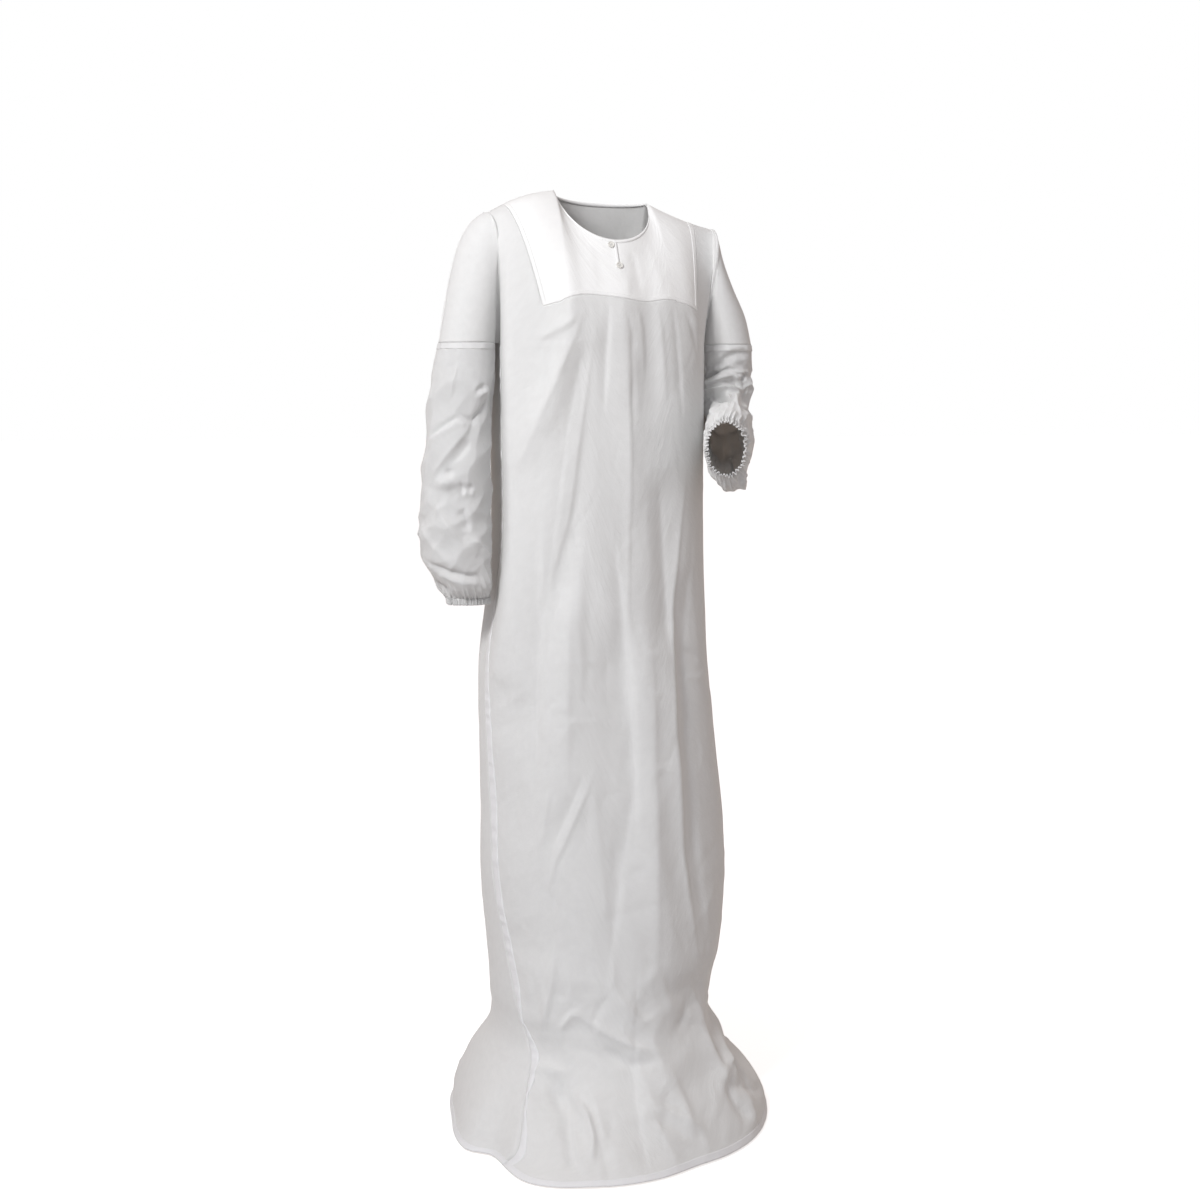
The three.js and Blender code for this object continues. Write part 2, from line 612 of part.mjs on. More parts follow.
// The cloth's edges: each pair of corners that only one cell joins, in that cell's order.
function edgesOf(cloth) {
  const sides = new Map();
  for (const cell of cloth.cells) {
    cell.forEach((from, at) => {
      const to = cell[(at + 1) % cell.length];
      sides.set(`${from},${to}`, [from, to]);
    });
  }
  return [...sides.values()].filter(([from, to]) => !sides.has(`${to},${from}`));
}

// How far each edge point is drawn back, so that pieces stand apart at their seams.
function drawBack(cloth, edges, outward) {
  const moves = new Map();
  for (const [from, to] of edges) {
    const along = new THREE.Vector3().subVectors(cloth.points[to], cloth.points[from]).normalize();
    for (const corner of [from, to]) {
      const normal = outward.get(placeKey(cloth.points[corner]));
      const inward = new THREE.Vector3().crossVectors(normal, along).normalize();
      if (!moves.has(corner)) moves.set(corner, []);
      moves.get(corner).push(inward);
    }
  }
  for (const [corner, [first, second]] of moves) {
    const turn = 1 + Math.max(-0.4, first.dot(second));
    const move = new THREE.Vector3().addVectors(first, second).multiplyScalar(SEAM_GAP / 2 / turn);
    moves.set(corner, move);
  }
  return moves;
}

// One order for any two places, so that both pieces at a seam split their edges the same way.
function isBefore(a, b) {
  return a.z - b.z + (a.x - b.x) + (a.y - b.y) < 0;
}

// A closed wall under the cloth's outer points.
function wallGeometry(cloth, outward) {
  const edges = edgesOf(cloth);
  const moves = drawBack(cloth, edges, outward);
  const count = cloth.points.length;
  const outer = cloth.points.map((point, corner) => point.clone().add(moves.get(corner) ?? new THREE.Vector3()));
  const inner = cloth.points.map((point, corner) =>
    outer[corner].clone().addScaledVector(outward.get(placeKey(point)), -WALL),
  );
  const triangles = [];
  for (const cell of cloth.cells) {
    for (let at = 1; at + 1 < cell.length; at += 1) {
      triangles.push(cell[0], cell[at], cell[at + 1]);
      triangles.push(cell[0] + count, cell[at + 1] + count, cell[at] + count);
    }
  }
  for (const [from, to] of edges) {
    if (isBefore(cloth.points[from], cloth.points[to])) {
      triangles.push(to, from, to + count, to + count, from, from + count);
    } else {
      triangles.push(to, from, from + count, to, from + count, to + count);
    }
  }
  const geometry = new THREE.BufferGeometry();
  const positions = [...outer, ...inner].flatMap((point) => point.toArray());
  geometry.setAttribute('position', new THREE.Float32BufferAttribute(positions, 3));
  geometry.setIndex(triangles);
  geometry.computeVertexNormals();
  return geometry;
}

// The neck edge's points in order, from the middle of the front by the left to the right.
function neckEdgePoints() {
  const quarter = (face, side) =>
    Array.from({ length: NECK_COLUMN }, (_, column) =>
      lowerLeftShoulder(topEdgePoint(face, side, (NECK_SHARE * column) / NECK_COLUMN)),
    );
  const neckSide = (side) => lowerLeftShoulder(topEdgePoint(FRONT, side, NECK_SHARE));
  return [
    ...quarter(FRONT, LEFT),
    neckSide(LEFT),
    ...quarter(BACK, LEFT).reverse(),
    ...quarter(BACK, RIGHT).slice(1),
    neckSide(RIGHT),
    ...quarter(FRONT, RIGHT).slice(1).reverse(),
  ];
}

// A rounded strip just beyond the neck edge, which closes on itself.
function makeNeckBinding(outward) {
  const edge = neckEdgePoints();
  const { width, thickness, corners } = NECK_BINDING;
  const positions = [];
  edge.forEach((point, at) => {
    const next = edge[(at + 1) % edge.length];
    const last = edge[(at + edge.length - 1) % edge.length];
    const along = new THREE.Vector3().subVectors(next, last).normalize();
    const normal = outward.get(placeKey(point));
    const inward = new THREE.Vector3().crossVectors(normal, along).normalize();
    const middle = point.clone().addScaledVector(normal, -WALL / 2);
    middle.addScaledVector(inward, width / 2 + SEAM_GAP);
    for (let corner = 0; corner < corners; corner += 1) {
      const angle = ((corner + 0.5) / corners) * -2 * Math.PI;
      const place = middle.clone().addScaledVector(inward, (Math.cos(angle) * width) / 2);
      place.addScaledVector(normal, (Math.sin(angle) * thickness) / 2);
      positions.push(...place.toArray());
    }
  });
  const triangles = [];
  for (let at = 0; at < edge.length; at += 1) {
    for (let corner = 0; corner < corners; corner += 1) {
      const beside = (corner + 1) % corners;
      const [here, there] = [at * corners, ((at + 1) % edge.length) * corners];
      triangles.push(here + corner, there + corner, there + beside);
      triangles.push(here + corner, there + beside, here + beside);
    }
  }
  const geometry = new THREE.BufferGeometry();
  geometry.setAttribute('position', new THREE.Float32BufferAttribute(positions, 3));
  geometry.setIndex(triangles);
  geometry.computeVertexNormals();
  const mesh = new THREE.Mesh(geometry, clothMaterial);
  mesh.name = 'neck_binding';
  return mesh;
}

// A round button with a raised rim, flat on the yoke.
function makeButton(name, { side, turn, down }) {
  const { radius, thickness, rim, rounding, dish, segments, clearance } = BUTTON;
  const profile = [
    [0, 0],
    [radius - rounding, 0],
    [radius, rounding],
    [radius, thickness - rounding],
    [radius - rounding, thickness],
    [radius - rim, thickness],
    [radius - rim - rounding, thickness - dish],
    [0, thickness - dish],
  ].map(([r, y]) => new THREE.Vector2(r, y));
  const mesh = new THREE.Mesh(new THREE.LatheGeometry(profile, segments), buttonMaterial);
  const step = 0.01;
  const place = chestPoint(FRONT, side, turn, down);
  const lower = chestPoint(FRONT, side, turn, down + step).sub(place);
  const beside = chestPoint(FRONT, side, turn + step, down).sub(place);
  const normal = new THREE.Vector3().crossVectors(beside, lower).multiplyScalar(-side).normalize();
  mesh.quaternion.setFromUnitVectors(new THREE.Vector3(0, 1, 0), normal);
  mesh.position.copy(place).addScaledVector(normal, clearance);
  mesh.name = name;
  return mesh;
}

const garment = new THREE.Group();
const cloths = [
  makeFrontPanel(),
  makeBackPanel(),
  makeFrontYoke(),
  makeSleeve('sleeve_right', RIGHT, SLEEVE_RIGHT_RINGS),
  makeSleeve('sleeve_left', LEFT, SLEEVE_LEFT_RINGS),
  makeCuff('cuff_right', RIGHT, CUFF_RIGHT_RINGS),
  makeCuff('cuff_left', LEFT, CUFF_LEFT_RINGS),
];
const outward = outwardByPlace(cloths);
for (const cloth of cloths) {
  const mesh = new THREE.Mesh(wallGeometry(cloth, outward), cloth.material);
  mesh.name = cloth.name;
  garment.add(mesh);
}
garment.add(makeNeckBinding(outward));
for (const [name, place] of Object.entries(BUTTON_PLACES)) garment.add(makeButton(name, place));
garment.position.z = -HELD_HEIGHT;

export default garment;
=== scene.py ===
"""Dresses the solids of a worn white cotton jilbab in thin cloth with folds, seams and buttons.

Until a mesh is made, lengths are millimetres and heights are counted from the ground. Mesh
points are metres in the frame of the solids, whose origin is between the shoulders.
"""

import json
import logging
import math
from collections.abc import Sequence
from dataclasses import dataclass
from enum import Enum

import bpy
import numpy as np
from mathutils import Matrix, Vector
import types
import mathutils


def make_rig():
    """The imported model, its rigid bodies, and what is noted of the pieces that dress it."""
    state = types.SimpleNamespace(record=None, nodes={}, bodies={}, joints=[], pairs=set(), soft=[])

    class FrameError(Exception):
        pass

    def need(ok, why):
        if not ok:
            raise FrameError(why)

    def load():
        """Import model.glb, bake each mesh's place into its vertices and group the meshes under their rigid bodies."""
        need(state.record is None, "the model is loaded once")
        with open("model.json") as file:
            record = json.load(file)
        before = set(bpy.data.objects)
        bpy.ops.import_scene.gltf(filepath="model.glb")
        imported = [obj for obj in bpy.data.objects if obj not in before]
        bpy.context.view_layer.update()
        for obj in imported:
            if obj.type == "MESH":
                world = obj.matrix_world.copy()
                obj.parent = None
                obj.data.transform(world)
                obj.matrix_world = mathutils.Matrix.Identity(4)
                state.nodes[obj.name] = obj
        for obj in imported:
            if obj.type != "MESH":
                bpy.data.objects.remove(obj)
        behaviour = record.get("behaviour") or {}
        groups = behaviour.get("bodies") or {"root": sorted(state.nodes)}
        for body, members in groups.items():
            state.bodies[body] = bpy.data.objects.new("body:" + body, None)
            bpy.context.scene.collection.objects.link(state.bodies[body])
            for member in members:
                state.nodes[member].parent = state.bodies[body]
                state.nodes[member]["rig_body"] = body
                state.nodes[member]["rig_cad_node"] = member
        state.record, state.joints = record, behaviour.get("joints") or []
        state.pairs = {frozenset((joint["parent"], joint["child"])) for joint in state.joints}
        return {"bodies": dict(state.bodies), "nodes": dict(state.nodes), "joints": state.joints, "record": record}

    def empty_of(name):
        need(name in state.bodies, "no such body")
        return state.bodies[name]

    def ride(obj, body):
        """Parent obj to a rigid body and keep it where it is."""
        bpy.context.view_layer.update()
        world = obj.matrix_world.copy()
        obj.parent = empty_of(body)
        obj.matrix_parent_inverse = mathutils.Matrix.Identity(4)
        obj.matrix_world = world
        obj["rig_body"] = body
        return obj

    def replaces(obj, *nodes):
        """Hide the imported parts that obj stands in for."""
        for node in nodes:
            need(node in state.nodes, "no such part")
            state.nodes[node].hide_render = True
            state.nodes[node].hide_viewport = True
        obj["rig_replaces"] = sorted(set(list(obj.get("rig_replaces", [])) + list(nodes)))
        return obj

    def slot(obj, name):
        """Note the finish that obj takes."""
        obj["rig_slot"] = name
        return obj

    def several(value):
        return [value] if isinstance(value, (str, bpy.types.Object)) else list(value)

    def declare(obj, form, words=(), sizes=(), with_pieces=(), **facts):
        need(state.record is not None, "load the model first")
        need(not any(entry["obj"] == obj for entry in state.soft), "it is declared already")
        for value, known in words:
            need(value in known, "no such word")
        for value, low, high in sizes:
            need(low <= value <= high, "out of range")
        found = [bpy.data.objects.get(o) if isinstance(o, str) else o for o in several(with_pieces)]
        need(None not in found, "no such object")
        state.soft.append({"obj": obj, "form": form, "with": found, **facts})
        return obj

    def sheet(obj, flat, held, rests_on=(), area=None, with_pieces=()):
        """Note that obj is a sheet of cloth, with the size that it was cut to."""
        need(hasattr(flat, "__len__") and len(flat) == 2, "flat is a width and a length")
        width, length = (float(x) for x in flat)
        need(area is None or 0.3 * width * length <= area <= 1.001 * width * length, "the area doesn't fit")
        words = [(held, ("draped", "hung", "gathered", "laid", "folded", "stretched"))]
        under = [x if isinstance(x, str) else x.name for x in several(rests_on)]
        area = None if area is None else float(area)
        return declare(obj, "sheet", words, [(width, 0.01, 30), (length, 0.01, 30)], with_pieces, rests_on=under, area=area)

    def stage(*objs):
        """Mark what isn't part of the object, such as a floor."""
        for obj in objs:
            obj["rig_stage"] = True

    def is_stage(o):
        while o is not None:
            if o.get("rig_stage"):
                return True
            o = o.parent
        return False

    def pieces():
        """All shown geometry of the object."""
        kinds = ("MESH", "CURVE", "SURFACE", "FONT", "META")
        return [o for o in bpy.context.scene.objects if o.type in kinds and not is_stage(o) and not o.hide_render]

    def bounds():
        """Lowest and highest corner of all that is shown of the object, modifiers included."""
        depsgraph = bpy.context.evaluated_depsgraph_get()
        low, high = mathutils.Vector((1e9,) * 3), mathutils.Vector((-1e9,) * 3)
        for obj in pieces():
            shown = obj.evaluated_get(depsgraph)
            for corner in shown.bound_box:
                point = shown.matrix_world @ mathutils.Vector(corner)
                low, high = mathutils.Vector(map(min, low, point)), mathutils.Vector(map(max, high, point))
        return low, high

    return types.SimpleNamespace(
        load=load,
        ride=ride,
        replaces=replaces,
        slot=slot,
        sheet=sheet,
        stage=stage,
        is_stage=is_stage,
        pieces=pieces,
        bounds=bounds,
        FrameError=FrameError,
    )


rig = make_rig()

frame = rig.load()
CAD_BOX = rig.bounds()

logging.basicConfig(level=logging.INFO, format="%(message)s")
log = logging.getLogger("jilbab")

Array = np.ndarray
Piece = bpy.types.Object
Material = bpy.types.Material
Tree = bpy.types.NodeTree
Socket = bpy.types.NodeSocket

MM = 0.001
HELD_HEIGHT = 1480.0
ARMHOLE_HEIGHT = 1244.0
HEM_HEIGHT = 3.0
CLOTH_THICKNESS = 0.55
MERGE_DISTANCE = 0.02
CREASE_REACH = 4
ROOT = "root"
CLOTH_SLOT = "cotton_cloth"
BUTTON_SLOT = "shirt_button"


class Face(Enum):
    """The two faces of the body, by the sign of y."""

    FRONT = -1
    BACK = 1


class Side(Enum):
    """The wearer's two sides, by the sign of x."""

    RIGHT = -1
    LEFT = 1


def mix(a: float, b: float, share: float) -> float:
    """Returns the value that lies share of the way from a to b; arrays too."""
    return a + (b - a) * share


def smooth(value: Array, low: float, high: float) -> Array:
    """Returns 0 below low, 1 above high, and a soft step between them."""
    share = np.clip((value - low) / (high - low), 0, 1)
    return share * share * (3 - 2 * share)


class Line:
    """A smooth line through the values that a table gives at its places."""

    def __init__(self, places: Sequence[float], values: Sequence[float] | Array) -> None:
        """Orders the places and finds the slope at each.

        Args:
            places: where the values stand, rising or falling.
            values: one value or one array of values for each place.
        """
        order = np.argsort(places)
        self.places = np.asarray(places, float)[order]
        self.values = np.asarray(values, float)[order]
        last = len(self.places) - 1
        before = np.maximum(np.arange(last + 1) - 1, 0)
        after = np.minimum(np.arange(last + 1) + 1, last)
        run = self.places[after] - self.places[before]
        rise = self.values[after] - self.values[before]
        self.slopes = rise / run.reshape(-1, *([1] * (self.values.ndim - 1)))

    def __call__(self, at: Array | float) -> Array:
        """Returns the values at the given places, held level beyond both ends.

        Args:
            at: one place or an array of places.
        """
        at = np.clip(np.asarray(at, float), self.places[0], self.places[-1])
        upper = np.clip(np.searchsorted(self.places, at), 1, len(self.places) - 1)
        lower = upper - 1
        step = self.places[upper] - self.places[lower]
        share = (at - self.places[lower]) / step
        extra = (1,) * (self.values.ndim - 1)
        share = share.reshape(*share.shape, *extra)
        step = step.reshape(*step.shape, *extra)
        s2 = share * share
        s3 = s2 * share
        return (
            (2 * s3 - 3 * s2 + 1) * self.values[lower]
            + (s3 - 2 * s2 + share) * step * self.slopes[lower]
            + (3 * s2 - 2 * s3) * self.values[upper]
            + (s3 - s2) * step * self.slopes[upper]
        )


class Table:
    """A short table with named columns."""

    def __init__(self, columns: str, *rows: Sequence[float]) -> None:
        """Keeps the rows under the column names, which one string gives with spaces."""
        self.names = columns.split()
        self.rows = np.array(rows, float)

    def column(self, name: str) -> Array:
        """Returns one column's values."""
        return self.rows[:, self.names.index(name)]

    def line(self, key: str, name: str) -> Line:
        """Returns a smooth line of one column over another."""
        return Line(self.column(key), self.column(name))


@dataclass(frozen=True)
class Crease:
    """A fold line in the cloth: a ridge where height is positive, a trough where negative.

    It is steeper on one side than on the other, and runs out thin at both ends.
    """

    path: tuple[tuple[float, float], ...]
    width: float
    height: float
    sharp: float = 0.3
    fade: float = 40.0
    lean: float = 0.35
    thin: float = 0.45

    # Shares of a crease's length or width.
    LEAST_FADE = 0.35
    OVERRUN = 0.2
    TIP = 0.15
    CREST = 0.7

    def lift(self, across: Array, along: Array) -> Array:
        """Returns how far this fold lifts the cloth.

        Args:
            across: each point's place across the cloth.
            along: each point's place up or down the cloth.

        Returns:
            The lift of each point, in millimetres.
        """
        nearest = np.full(across.shape, np.inf)
        run = np.zeros(across.shape)
        beside = np.zeros(across.shape)
        start = 0.0
        for (x0, z0), (x1, z1) in zip(self.path[:-1], self.path[1:]):
            length = math.hypot(x1 - x0, z1 - z0)
            ux, uz = (x1 - x0) / length, (z1 - z0) / length
            share = (across - x0) * ux + (along - z0) * uz
            held = np.clip(share, 0, length)
            gap = np.hypot(across - x0 - held * ux, along - z0 - held * uz)
            closer = gap < nearest
            nearest = np.where(closer, gap, nearest)
            run = np.where(closer, start + share, run)
            side = (across - x0) * uz - (along - z0) * ux
            beside = np.where(closer, side, beside)
            start += length
        fade = min(max(self.fade, start * self.LEAST_FADE), start / 2)
        over = fade * self.OVERRUN
        ends = smooth(run, -over, fade) * (1 - smooth(run, start - fade, start + over))
        tip = self.width * self.TIP
        leaning = 1 + self.lean * np.tanh(beside / tip)
        width = self.width * leaning * mix(self.thin, 1, ends)
        soft = np.exp(-((nearest / width) ** 2))
        crest = np.exp(-(np.sqrt(nearest**2 + tip**2) - tip) / (width * self.CREST))
        return self.height * mix(soft, crest, self.sharp) * ends


@dataclass(frozen=True)
class Crumples:
    """Small creases strewn over an area, in the direction in which the cloth is drawn."""

    across: tuple[float, float]
    along: tuple[float, float]
    count: int
    heading: float
    spread: float
    length: tuple[float, float]
    width: tuple[float, float]
    height: float
    seed: int
    sharp: float = 0.75

    BEND = 0.12
    LEAST_HEIGHT = 0.4

    def creases(self) -> list[Crease]:
        """Returns the same creases every time, from the seed."""
        chance = np.random.default_rng(self.seed)
        found = []
        for _ in range(self.count):
            x = chance.uniform(*self.across)
            z = chance.uniform(*self.along)
            angle = math.radians(self.heading + chance.normal(0, self.spread))
            length = chance.uniform(*self.length)
            bend = chance.normal(0, self.BEND) * length
            dx, dz = math.sin(angle) * length / 2, math.cos(angle) * length / 2
            middle = (x + math.cos(angle) * bend, z - math.sin(angle) * bend)
            height = self.height * chance.uniform(self.LEAST_HEIGHT, 1.0) * chance.choice((-1, 1))
            path = ((x - dx, z - dz), middle, (x + dx, z + dz))
            width = chance.uniform(*self.width)
            found.append(Crease(path, width, height, self.sharp, fade=length / 2))
        return found


@dataclass(frozen=True)
class Facets:
    """Crumpling over an area: shallow flats of uneven size that meet along sharp ridges."""

    across: tuple[float, float]
    along: tuple[float, float]
    spacing: float
    stretch: float
    heading: float
    slope: float
    seed: int
    softness: float = 0.35

    # Shares of the spacing: how much lower some flats lie, the height that counts as none, and
    # the border over which the crumpling starts.
    DROP = 0.5
    LEVEL = 0.8
    RIM = 0.8

    def middles(self) -> Array:
        """Returns the middle of each flat and how low it lies, the same every time."""
        chance = np.random.default_rng(self.seed)
        margin = self.spacing * self.stretch
        width = self.across[1] - self.across[0] + 2 * margin
        height = self.along[1] - self.along[0] + 2 * margin
        count = round(width * height / self.spacing**2 / self.stretch)
        xs = chance.uniform(self.across[0] - margin, self.across[1] + margin, count)
        zs = chance.uniform(self.along[0] - margin, self.along[1] + margin, count)
        return np.stack([xs, zs, chance.uniform(0, self.DROP, count)], -1)

    def lift(self, across: Array, along: Array) -> Array:
        """Returns how far the crumpling lifts the cloth.

        Args:
            across: each point's place across the cloth.
            along: each point's place up or down the cloth.

        Returns:
            The lift of each point, in millimetres.
        """
        turn = math.radians(self.heading)
        lowest = np.full(across.shape, np.inf)
        for x, z, low in self.middles():
            dx, dz = across - x, along - z
            beside = dx * math.cos(turn) - dz * math.sin(turn)
            forward = (dx * math.sin(turn) + dz * math.cos(turn)) / self.stretch
            gap = np.hypot(beside, forward) / self.spacing
            lowest = np.minimum(lowest, np.hypot(gap, self.softness) + low)
        rim = self.spacing * self.RIM
        inside = smooth(along, self.along[0] - rim, self.along[0] + rim)
        inside *= 1 - smooth(along, self.along[1] - rim, self.along[1] + rim)
        return (lowest - self.LEVEL) * self.slope * self.spacing * inside


def total_lift(lines: Sequence[Crease], across: Array, along: Array) -> Array:
    """Adds up the lift of many creases, each over the points near it.

    Args:
        lines: the creases.
        across: each point's place across the cloth.
        along: each point's place up or down the cloth.

    Returns:
        The lift of each point, in millimetres.
    """
    lift = np.zeros(across.shape)
    for crease in lines:
        xs = [x for x, _ in crease.path]
        zs = [z for _, z in crease.path]
        reach = crease.width * CREASE_REACH
        near = (across > min(xs) - reach) & (across < max(xs) + reach)
        near &= (along > min(zs) - reach) & (along < max(zs) + reach)
        if near.any():
            lift[near] += crease.lift(across[near], along[near])
    return lift


def creases(*rows: tuple) -> tuple[Crease, ...]:
    """Returns creases from rows of path, width and height, and then sharpness and fade."""
    return tuple(Crease(*row) for row in rows)


def with_crumples(placed: Sequence[Crease], areas: Sequence[Crumples]) -> list[Crease]:
    """Returns the listed creases, and then the small ones of each area."""
    return [*placed, *[crease for area in areas for crease in area.creases()]]


BODY_RINGS = Table(
    "z half front back shift box",
    (1244, 165, 125, 100, 0, 1),
    (1100, 164, 132, 105, 0, 1),
    (950, 163, 141, 113, 0, 1),
    (838, 171, 150, 121, -4, 0.8),
    (744, 184, 158, 128, -10, 0.35),
    (670, 191, 165, 134, -8, 0.1),
    (505, 198, 180, 146, 1, 0),
    (400, 199, 191, 153, 2, 0),
    (272, 190, 205, 161, 3, 0),
    (204, 180, 213, 167, -3, 0),
    (170, 176, 222, 173, -2, 0),
    (136, 187, 240, 185, 5, 0),
    (102, 205, 262, 203, 2, 0),
    (68, 232, 290, 228, 9, 0),
    (34, 251, 322, 258, 15, 0),
    (12, 258, 342, 277, 17, 0),
    (3, 262, 350, 285, 17, 0),
)
HEM_SPREAD = Table(
    "turn reach",
    (-180, 1),
    (-120, 1),
    (-90, 1.03),
    (-68, 1.17),
    (-60, 1.1),
    (-44, 1.24),
    (-26, 1.14),
    (-8, 1.03),
    (8, 0.94),
    (20, 0.925),
    (50, 0.93),
    (70, 0.95),
    (95, 1),
    (180, 1),
)
FRONT_SHAPE = Table(
    "turn across out",
    (0, 0, 1),
    (0.25, 0.34, 0.985),
    (0.5, 0.68, 0.9),
    (0.7, 0.94, 0.73),
    (0.8, 1.05, 0.6),
    (0.86, 1.06, 0.45),
    (1, 1, 0),
)
BACK_SHAPE = Table(
    "turn across out",
    (0, 0, 1),
    (0.25, 0.36, 0.99),
    (0.5, 0.71, 0.89),
    (0.7, 0.94, 0.7),
    (0.85, 1.04, 0.4),
    (1, 1, 0),
)
SIDE_SEAMS = Table(
    "z right left",
    (1244, 90, 90),
    (838, 90, 91),
    (744, 84, 92),
    (570, 79, 94),
    (385, 75, 96),
    (238, 66, 98),
    (153, 59, 99),
    (90, 52, 100),
    (30, 49, 100),
    (3, 54, 100),
)
OVERARM = Table(
    "down right left",
    (0, 190, 189),
    (0.07, 207, 192),
    (0.15, 219, 196),
    (0.27, 230, 203),
    (0.5, 243, 222),
    (0.75, 253, 244),
    (1, 261, 256),
)
YOKE_HEM = Table(
    "across height",
    (-1, 1297),
    (-0.5, 1312),
    (-0.1, 1313),
    (0.25, 1307),
    (0.5, 1311),
    (0.8, 1307),
    (1, 1297),
)
FRONT_FOLDS = Table(
    "top_x top_z bottom_x bottom_z width out",
    (-56, 1306, -162, 1040, 24, 9),
    (-50, 1300, -141, 600, 22, -9),
    (-40, 1306, -126, 850, 22, 8),
    (-5, 1306, 6, 960, 26, 6),
    (44, 1302, 50, 1120, 26, -6),
    (120, 1300, 142, 1180, 22, 6),
    (60, 1050, 78, 690, 26, -7),
    (-160, 720, -166, 440, 24, -6),
    (-92, 870, -102, 500, 28, 6),
    (-2, 820, -50, 240, 36, -8),
    (34, 830, 34, 220, 26, 7),
    (76, 810, 84, 380, 24, 7),
    (118, 900, 126, 420, 28, -6),
    (-150, 300, -190, 30, 34, 9),
    (-90, 260, -120, 30, 36, -8),
    (90, 260, 130, 30, 40, -9),
)
BACK_FOLDS = Table(
    "top_x top_z bottom_x bottom_z width out",
    (-110, 1330, -128, 620, 24, 8),
    (-72, 1300, -78, 420, 26, -9),
    (-30, 1320, -34, 300, 26, 8),
    (12, 1300, 6, 640, 26, -8),
    (52, 1310, 66, 240, 26, 8),
    (96, 1300, 106, 520, 24, -8),
    (130, 1290, 138, 560, 20, 7),
    (-60, 380, -110, 60, 36, 9),
    (30, 330, 60, 50, 38, -9),
    (120, 300, 150, 60, 34, 8),
)
SLEEVE_RIGHT_RINGS = Table(
    "x y z inner outer front back lean turn",
    (-222, 0, 1195, 46, 52, 52, 56, 0, 0),
    (-228, 0, 1130, 47, 54, 55, 57, 0, 0),
    (-233, -2, 1070, 49, 56, 58, 57, 0, 0),
    (-237, -5, 1010, 52, 58, 61, 57, 0, 0),
    (-240, -9, 950, 55, 57, 64, 59, 0, 0),
    (-239, -13, 912, 54, 54, 66, 60, 0, 0),
    (-237, -16, 886, 50, 46, 63, 58, 0, 0),
    (-233, -18, 866, 44, 37, 55, 51, 0, 0),
    (-227, -19, 854, 36, 33, 43, 41, 0, 0),
    (-224, -20, 848, 30, 31, 34, 32, 0, 0),
    (-223, -20, 837, 30, 31, 33, 31, 0, 0),
)
SLEEVE_LEFT_RINGS = Table(
    "x y z inner outer front back lean turn",
    (216, 4, 1212, 41, 42, 50, 58, 8, 0),
    (217, 4, 1180, 42, 38, 48, 64, 22, 2),
    (217, -4, 1152, 42, 32, 44, 68, 40, 6),
    (213, -26, 1128, 42, 27, 42, 66, 60, 12),
    (204, -62, 1116, 41, 23, 44, 64, 72, 18),
    (189, -104, 1109, 42, 24, 46, 72, 77, 22),
    (174, -142, 1102, 43, 27, 50, 84, 77, 22),
    (161, -172, 1096, 41, 31, 52, 86, 77, 22),
    (151, -190, 1092, 38, 32, 50, 74, 77, 22),
    (143, -200, 1089, 33, 32, 46, 58, 77, 22),
    (138, -206, 1086, 28, 29, 41, 46, 77, 22),
    (134, -216, 1083, 27, 29, 39, 43, 77, 22),
)


@dataclass(frozen=True)
class BodySizes:
    """The sizes that the cloth's form is set out from: lengths, shares, and powers for bends."""

    neck_half_width: float = 77
    neck_front_depth: float = 80
    neck_front_height: float = 1402
    neck_back_depth: float = 50
    neck_back_height: float = 1470
    neck_side_right: float = 1480
    neck_side_left: float = 1471
    neck_share: float = 0.42
    shoulder_tip: float = 187
    shoulder_height: float = 1438
    slope_end: float = 184
    slope_share: float = 0.8
    tip_rounding: float = 2
    shoulder_drop: float = 0.045
    full_drop_from: float = 1400
    bow_right: float = 7
    bow_left: float = -4
    underarm_inner: float = 174
    underarm_y: float = 6
    arm_front_depth: float = 52
    arm_back_depth: float = 56
    valley_depth: float = 52
    hem_spread_below: float = 110
    box_left: float = 0.2
    yoke_top_turn_right: float = 0.78
    yoke_top_turn_left: float = 0.74
    yoke_hem_turn_right: float = 0.54
    yoke_hem_turn_left: float = 0.61
    yoke_hem_down: float = 0.85
    yoke_row_power: float = 1.4
    fold_start: float = 8
    fold_end: float = 3
    chest_flat_to: float = 0.7
    chest_side_power: float = 0.5
    chest_width_power: float = 0.8
    valley_power: float = 8
    arm_width_power: float = 0.6
    arm_depth_power: float = 0.4
    underarm_reach: float = 4


# The cloth's own counting of places: columns run from the middle out, rows from the top down.
PANEL_EDGE = 14
NECK_COLUMN = 5
YOKE_COLUMN = 9
ARM_START = 15
ARM_EDGE = 23
YOKE_ROW = 6
ARMHOLE_ROW = 10


